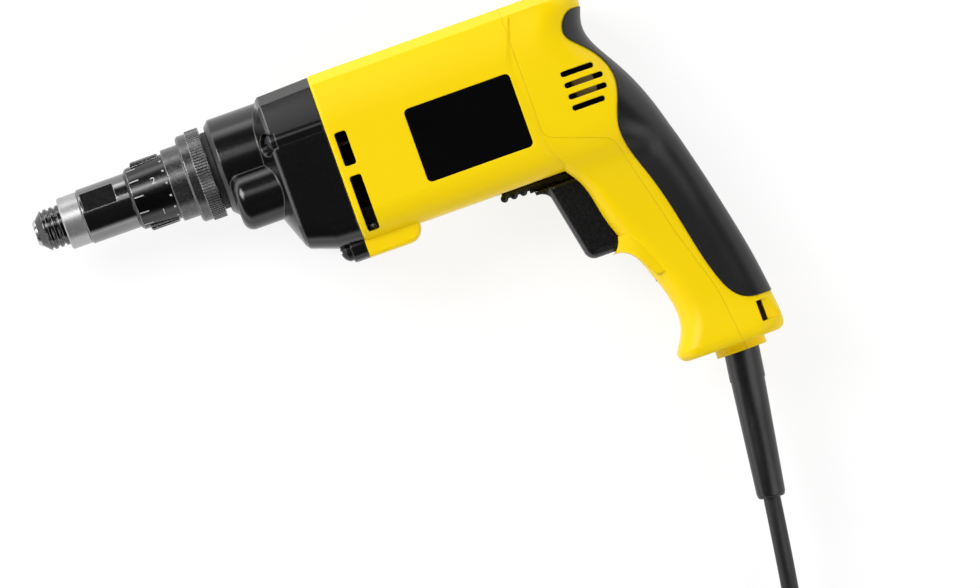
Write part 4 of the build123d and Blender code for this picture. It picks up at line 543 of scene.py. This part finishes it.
# Strain relief
# A long rubber sleeve on the cord: a flange that the handle's halves hold, a plain neck and a
# taper after the step, moulded in one piece.
RELIEF_PLACE = (288.0 * MM, -159.2 * MM, 0.0)
RELIEF_TILT = -8.0
RELIEF_STATIONS = [
    (-18.9, 4.0), (-10.9, 4.0), (-10.9, 10.6), (-6.9, 10.6), (-6.9, 8.3), (13.2, 8.3), (14.0, 7.9),
    (32.0, 7.5), (50.0, 7.1), (66.5, 6.7), (68.2, 6.3), (69.0, 5.4),
]
RELIEF_SIDES = 96
RELIEF_EDGE = 0.4 * MM
RELIEF_EDGE_STEPS = 3


def close_mesh():
    """Merges the seams of the mesh that is being shaped, and turns its faces outwards."""
    bpy.ops.mesh.select_all(action="SELECT")
    bpy.ops.mesh.remove_doubles(threshold=MERGE_DISTANCE)
    bpy.ops.mesh.normals_make_consistent(inside=False)
    bpy.ops.object.mode_set(mode="OBJECT")


def round_edges(piece, width, steps):
    """Rounds the sharp edges of the active piece and smooths the rest."""
    rounding = piece.modifiers.new("rounding", "BEVEL")
    rounding.width = width
    rounding.segments = steps
    bpy.ops.object.modifier_apply(modifier=rounding.name)
    bpy.ops.object.shade_smooth_by_angle(angle=SMOOTH_ANGLE)


first_station, first_radius = RELIEF_STATIONS[0]
bpy.ops.object.select_all(action="DESELECT")
bpy.ops.mesh.primitive_circle_add(
    vertices=RELIEF_SIDES, radius=first_radius * MM, fill_type="NGON",
    location=(0.0, -first_station * MM, 0.0), rotation=(math.radians(90), 0.0, 0.0))
strain_relief = bpy.context.object
strain_relief.name = "strain_relief"
bpy.ops.object.transform_apply(location=True, rotation=True, scale=True)
bpy.ops.object.mode_set(mode="EDIT")
bpy.ops.mesh.select_all(action="SELECT")
for (start, radius), (end, next_radius) in zip(RELIEF_STATIONS, RELIEF_STATIONS[1:]):
    bpy.ops.mesh.extrude_region_move(
        TRANSFORM_OT_translate={"value": (0.0, (start - end) * MM, 0.0)})
    share = next_radius / radius
    bpy.ops.transform.resize(value=(share, 1.0, share), center_override=(0.0, -end * MM, 0.0))
close_mesh()
strain_relief.location = RELIEF_PLACE
strain_relief.rotation_euler.z = math.radians(RELIEF_TILT)
bpy.ops.object.transform_apply(location=True, rotation=True, scale=True)
round_edges(strain_relief, RELIEF_EDGE, RELIEF_EDGE_STEPS)
relief_rubber = mottled("relief_rubber", (0.004, 0.004, 0.0042), (0.007, 0.007, 0.0072),
                        roughness=(0.32, 0.42), grain=1000.0, bump=0.00001)
strain_relief.data.materials.append(relief_rubber)
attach(strain_relief, "tool")
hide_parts("cord_protector")

# Cord
# A rubber-sheathed mains cord comes out of the strain relief, drops to the table and is wound
# into a tied coil, with the plug beside it.
CORD_WIDTH = 8.0 * MM
CORD_ROUTE = [
    (278.4, -227.5, 0.0), (275.1, -251.3, 0.0), (271.6, -276.0, -12.0), (267.8, -301.0, -25.0),
    (265.0, -325.0, -29.8), (265.0, -346.0, -29.8),
]
CORD_ORDER = 3
CORD_RUN_STEPS = 6
CORD_ROUND_STEPS = 5
COIL_CENTRE = (203.8, -354.0)
COIL_FLOOR = -29.8
COIL_STEP = 8.6
COIL_OUTER = 61.2
COIL_HALF_TURNS = 8
POINTS_PER_HALF_TURN = 12
PLUG_LEAD = 34.0


def coil_points():
    """The turns of the coil: in along the table, up a layer at the middle, and out again."""
    radii = [COIL_OUTER - COIL_STEP / 2 * number for number in range(COIL_HALF_TURNS + 1)]
    radii += [radii[-1] - COIL_STEP / 2] + radii[-2::-1]
    layers = [0.0] * (COIL_HALF_TURNS + 1) + [1.0] * (COIL_HALF_TURNS + 1)
    swell = 1 / math.cos(math.pi / POINTS_PER_HALF_TURN / 2)
    points = []
    for number in range(POINTS_PER_HALF_TURN * (len(radii) - 1) + 1):
        station, part = divmod(number, POINTS_PER_HALF_TURN)
        share = part / POINTS_PER_HALF_TURN
        after = min(station + 1, len(radii) - 1)
        radius = (radii[station] * (1 - share) + radii[after] * share) * swell
        layer = layers[station] * (1 - share) + layers[after] * share
        turn = -math.pi * number / POINTS_PER_HALF_TURN
        points.append((COIL_CENTRE[0] + radius * math.cos(turn),
                       COIL_CENTRE[1] + radius * math.sin(turn), COIL_FLOOR + COIL_STEP * layer))
    return points


turns = coil_points()
coil_x, coil_y, coil_z = turns[-1]
plug_y = coil_y + PLUG_LEAD
plug_lead = [(coil_x, plug_y - PLUG_LEAD / 2, coil_z), (coil_x, plug_y, coil_z)]
route = CORD_ROUTE + turns + plug_lead
cord_curve = bpy.data.curves.new("mains_cord", "CURVE")
cord_curve.dimensions = "3D"
line = cord_curve.splines.new("NURBS")
line.points.add(len(route) - 1)
for point, spot in zip(line.points, route):
    point.co = (*[value * MM for value in spot], 1.0)
line.order_u = CORD_ORDER
line.use_endpoint_u = True
line.resolution_u = CORD_RUN_STEPS
cord_curve.bevel_depth = CORD_WIDTH / 2
cord_curve.bevel_resolution = CORD_ROUND_STEPS
cord_curve.use_fill_caps = True
cord_rubber = mottled("cord_rubber", (0.005, 0.005, 0.005), (0.008, 0.008, 0.008),
                      roughness=(0.42, 0.54))
cord_curve.materials.append(cord_rubber)
mains_cord = bpy.data.objects.new("mains_cord", cord_curve)
bpy.context.scene.collection.objects.link(mains_cord)
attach(mains_cord, "tool")
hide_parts("cord_lead", "cord_coil")

# Plug
# A two-blade plug moulded on the cord: a broad body with a bevelled face, and a ribbed neck,
# made to flex but modelled straight, where the cord leaves it.
PLUG_EDGE = 2.6 * MM
PLUG_EDGE_STEPS = 4
PLUG_NECK_SHARE = 0.62
PLUG_TAPER_SHARE = 0.4
PLUG_TAPERS = ((0.8, 0.72), (0.72, 0.7))
PLUG_RIBS = 4
PLUG_GROOVE_SHARE = 0.8
PLUG_RIB_SHARE = 0.96
BLADE_EDGE = 0.3 * MM
FACING = 0.9
plug_low, plug_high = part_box("plug_body")
plug_middle = (plug_low + plug_high) / 2
plug_reach = plug_high - plug_low
neck_length = plug_reach.y * PLUG_NECK_SHARE
neck_y = plug_low.y + neck_length
taper_run = neck_length * PLUG_TAPER_SHARE
rib_run = (neck_length - taper_run) / (2 * PLUG_RIBS)


def pick_faces(piece, wanted):
    """Selects the faces of the active piece whose normals are wanted, in edit mode."""
    bpy.ops.object.mode_set(mode="EDIT")
    bpy.ops.mesh.select_mode(type="FACE")
    bpy.ops.mesh.select_all(action="DESELECT")
    bpy.ops.object.mode_set(mode="OBJECT")
    for polygon in piece.data.polygons:
        polygon.select = wanted(polygon.normal)
    bpy.ops.object.mode_set(mode="EDIT")


def size_end(y, wide, high):
    """Makes the selected end face of the neck narrower or broader."""
    bpy.ops.transform.resize(value=(wide, 1.0, high),
                             center_override=(plug_middle.x, y, plug_middle.z))


def push_back(y, run, wide=1.0, high=1.0):
    """Draws the end face towards the cord and sizes it, and says where it then is."""
    bpy.ops.mesh.extrude_region_move(TRANSFORM_OT_translate={"value": (0.0, -run, 0.0)})
    size_end(y - run, wide, high)
    return y - run


def step_end(y, share):
    """Steps the end face in or out where a groove or a rib begins."""
    bpy.ops.mesh.extrude_region_move()
    size_end(y, share, share)


plug = raw_block("moulded_plug", (plug_reach.x, plug_high.y - neck_y, plug_reach.z),
                 (plug_middle.x, (neck_y + plug_high.y) / 2, plug_middle.z))
pick_faces(plug, lambda normal: normal.y < -FACING)
end_y = neck_y
for wide, high in PLUG_TAPERS:
    end_y = push_back(end_y, taper_run / len(PLUG_TAPERS), wide, high)
for rib in range(PLUG_RIBS):
    end_y = push_back(end_y, rib_run)
    step_end(end_y, PLUG_GROOVE_SHARE)
    end_y = push_back(end_y, rib_run)
    if rib < PLUG_RIBS - 1:
        step_end(end_y, PLUG_RIB_SHARE / PLUG_GROOVE_SHARE)
close_mesh()
round_edges(plug, PLUG_EDGE, PLUG_EDGE_STEPS)
plug.data.materials.append(cord_rubber)
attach(plug, "tool")
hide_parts("plug_body")
plug_blade = mottled("plug_blade", (0.7, 0.55, 0.3), (0.6, 0.46, 0.24),
                     roughness=(0.25, 0.4), metallic=1.0, edge=BLADE_EDGE)
dress(plug_blade, "plug_pins")

# Cord tie
# A woven strap with hooks and loops, wrapped once round the coil. It lies flat over and under the
# turns and bends softly at their edges.
TIE_THICKNESS = 1.0 * MM
TIE_BEND = 4.0 * MM
TIE_BEND_STEPS = 6
TIE_EDGE = 0.25 * MM
TIE_EDGE_STEPS = 2
tie_low, tie_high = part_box("cord_tie")
tie_reach = tie_high - tie_low
tie = raw_block("coil_tie", tie_reach, (tie_low + tie_high) / 2)
pick_faces(tie, lambda normal: abs(normal.x) > FACING)
bpy.ops.mesh.delete(type="FACE")
bpy.ops.mesh.select_mode(type="EDGE")
bpy.ops.mesh.select_all(action="DESELECT")
bpy.ops.object.mode_set(mode="OBJECT")
for edge in tie.data.edges:
    start, end = (tie.data.vertices[index].co for index in edge.vertices)
    edge.select = abs(start.x - end.x) > tie_reach.x / 2
bpy.ops.object.mode_set(mode="EDIT")
bpy.ops.mesh.bevel(offset=TIE_BEND, segments=TIE_BEND_STEPS)
bpy.ops.object.mode_set(mode="OBJECT")
thicken(tie, TIE_THICKNESS)
bpy.ops.object.mode_set(mode="EDIT")
bpy.ops.mesh.select_all(action="SELECT")
bpy.ops.mesh.normals_make_consistent(inside=False)
bpy.ops.object.mode_set(mode="OBJECT")
round_edges(tie, TIE_EDGE, TIE_EDGE_STEPS)
tie_weave = mottled("tie_weave", (0.015, 0.015, 0.016), (0.03, 0.03, 0.032),
                    roughness=(0.7, 0.9), grain=1600.0, bump=0.0002)
tie.data.materials.append(tie_weave)
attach(tie, "tool")
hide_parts("cord_tie")

# Studio
# A white table in a room that is white all round and dark overhead, with three soft lamps above it.
# The camera looks straight down on the tool's left side from far away.
VIEW_WIDTH = 0.4508
VIEW_CENTRE = (0.1876, -0.0959)
VIEW_TURN = -19.6
LENS = 300.0
SENSOR = 36.0
FAR_LIMIT = 20.0
FLOOR_Z = cad_box[0].z
TABLE_SIZE = 6.0
TABLE_DROP = 0.2 * MM
TABLE_GLOW = 0.8
TABLE_LIGHT = 1.06
LIT_SIDE = (-0.62, 0.78, 0.0)
DIM_WALL = 1.0
LIT_WALL = 3.0
WALL_TOP = 0.1
CEILING_EDGE = 0.45
CEILING_SHARE = 0.015
LAMPS = (
    ("key", (-0.62, 0.80, 1.33), 0.9, 23.5),
    ("fill", (1.18, -0.9, 1.26), 1.4, 13.5),
    ("top", (0.03, 0.75, 1.75), 0.6, 1.2),
)
bpy.ops.object.select_all(action="DESELECT")
bpy.ops.mesh.primitive_plane_add(
    size=TABLE_SIZE, location=(*VIEW_CENTRE, FLOOR_Z - TABLE_DROP))
table = bpy.context.object
table.name = "table"
table_white, table_shader = new_material("table_white", (0.97, 0.97, 0.97), roughness=0.8)
table_shader.inputs["Specular IOR Level"].default_value = 0.0
nodes, link = table_white.node_tree.nodes, table_white.node_tree.links.new
ray, share = nodes.new("ShaderNodeLightPath"), nodes.new("ShaderNodeMath")
seen, mirrored = nodes.new("ShaderNodeMath"), nodes.new("ShaderNodeMath")
glow, blend = nodes.new("ShaderNodeEmission"), nodes.new("ShaderNodeMixShader")
seen.operation, mirrored.operation, share.operation = "MAXIMUM", "MAXIMUM", "MULTIPLY"
share.inputs[1].default_value = TABLE_GLOW
glow.inputs["Strength"].default_value = TABLE_LIGHT
link(ray.outputs["Is Camera Ray"], mirrored.inputs[0])
link(ray.outputs["Is Glossy Ray"], mirrored.inputs[1])
link(mirrored.outputs["Value"], seen.inputs[0])
link(ray.outputs["Is Transmission Ray"], seen.inputs[1])
link(seen.outputs["Value"], share.inputs[0])
link(share.outputs["Value"], blend.inputs["Fac"])
link(table_shader.outputs["BSDF"], blend.inputs[1])
link(glow.outputs["Emission"], blend.inputs[2])
link(blend.outputs["Shader"], nodes["Material Output"].inputs["Surface"])
table.data.materials.append(table_white)

world = bpy.data.worlds.new("studio")
bpy.context.scene.world = world
world.use_nodes = True
nodes, link = world.node_tree.nodes, world.node_tree.links.new
sky, place = nodes["Background"], nodes.new("ShaderNodeTexCoord")
height, fall = nodes.new("ShaderNodeSeparateXYZ"), nodes.new("ShaderNodeMapRange")
facing, wall = nodes.new("ShaderNodeVectorMath"), nodes.new("ShaderNodeMapRange")
level = nodes.new("ShaderNodeMath")
fall.interpolation_type = "SMOOTHSTEP"
fall.inputs["From Min"].default_value = WALL_TOP
fall.inputs["From Max"].default_value = CEILING_EDGE
fall.inputs["To Min"].default_value = 1.0
fall.inputs["To Max"].default_value = CEILING_SHARE
facing.operation = "DOT_PRODUCT"
facing.inputs[1].default_value = LIT_SIDE
wall.inputs["From Min"].default_value = -1.0
wall.inputs["To Min"].default_value = DIM_WALL
wall.inputs["To Max"].default_value = LIT_WALL
level.operation = "MULTIPLY"
sky.inputs["Color"].default_value = (1.0, 1.0, 1.0, 1.0)
link(place.outputs["Generated"], height.inputs["Vector"])
link(place.outputs["Generated"], facing.inputs[0])
link(facing.outputs["Value"], wall.inputs["Value"])
link(height.outputs["Z"], fall.inputs["Value"])
link(fall.outputs["Result"], level.inputs[0])
link(wall.outputs["Result"], level.inputs[1])
link(level.outputs["Value"], sky.inputs["Strength"])

for name, spot, size, power in LAMPS:
    lamp = bpy.data.lights.new(name, "AREA")
    lamp.size = size
    lamp.energy = power
    light = bpy.data.objects.new(name, lamp)
    bpy.context.scene.collection.objects.link(light)
    light.location = spot
    aim = light.location.copy()
    aim.x -= VIEW_CENTRE[0]
    aim.y -= VIEW_CENTRE[1]
    light.rotation_euler = aim.to_track_quat("Z", "Y").to_euler()

camera = bpy.data.cameras.new("camera")
camera.lens = LENS
camera.sensor_width = SENSOR
camera.clip_end = FAR_LIMIT
viewer = bpy.data.objects.new("camera", camera)
viewer.location = (*VIEW_CENTRE, VIEW_WIDTH * LENS / SENSOR)
viewer.rotation_euler = (0.0, 0.0, math.radians(VIEW_TURN))
bpy.context.scene.collection.objects.link(viewer)
bpy.context.scene.camera = viewer
bpy.context.scene.view_settings.view_transform = "Standard"
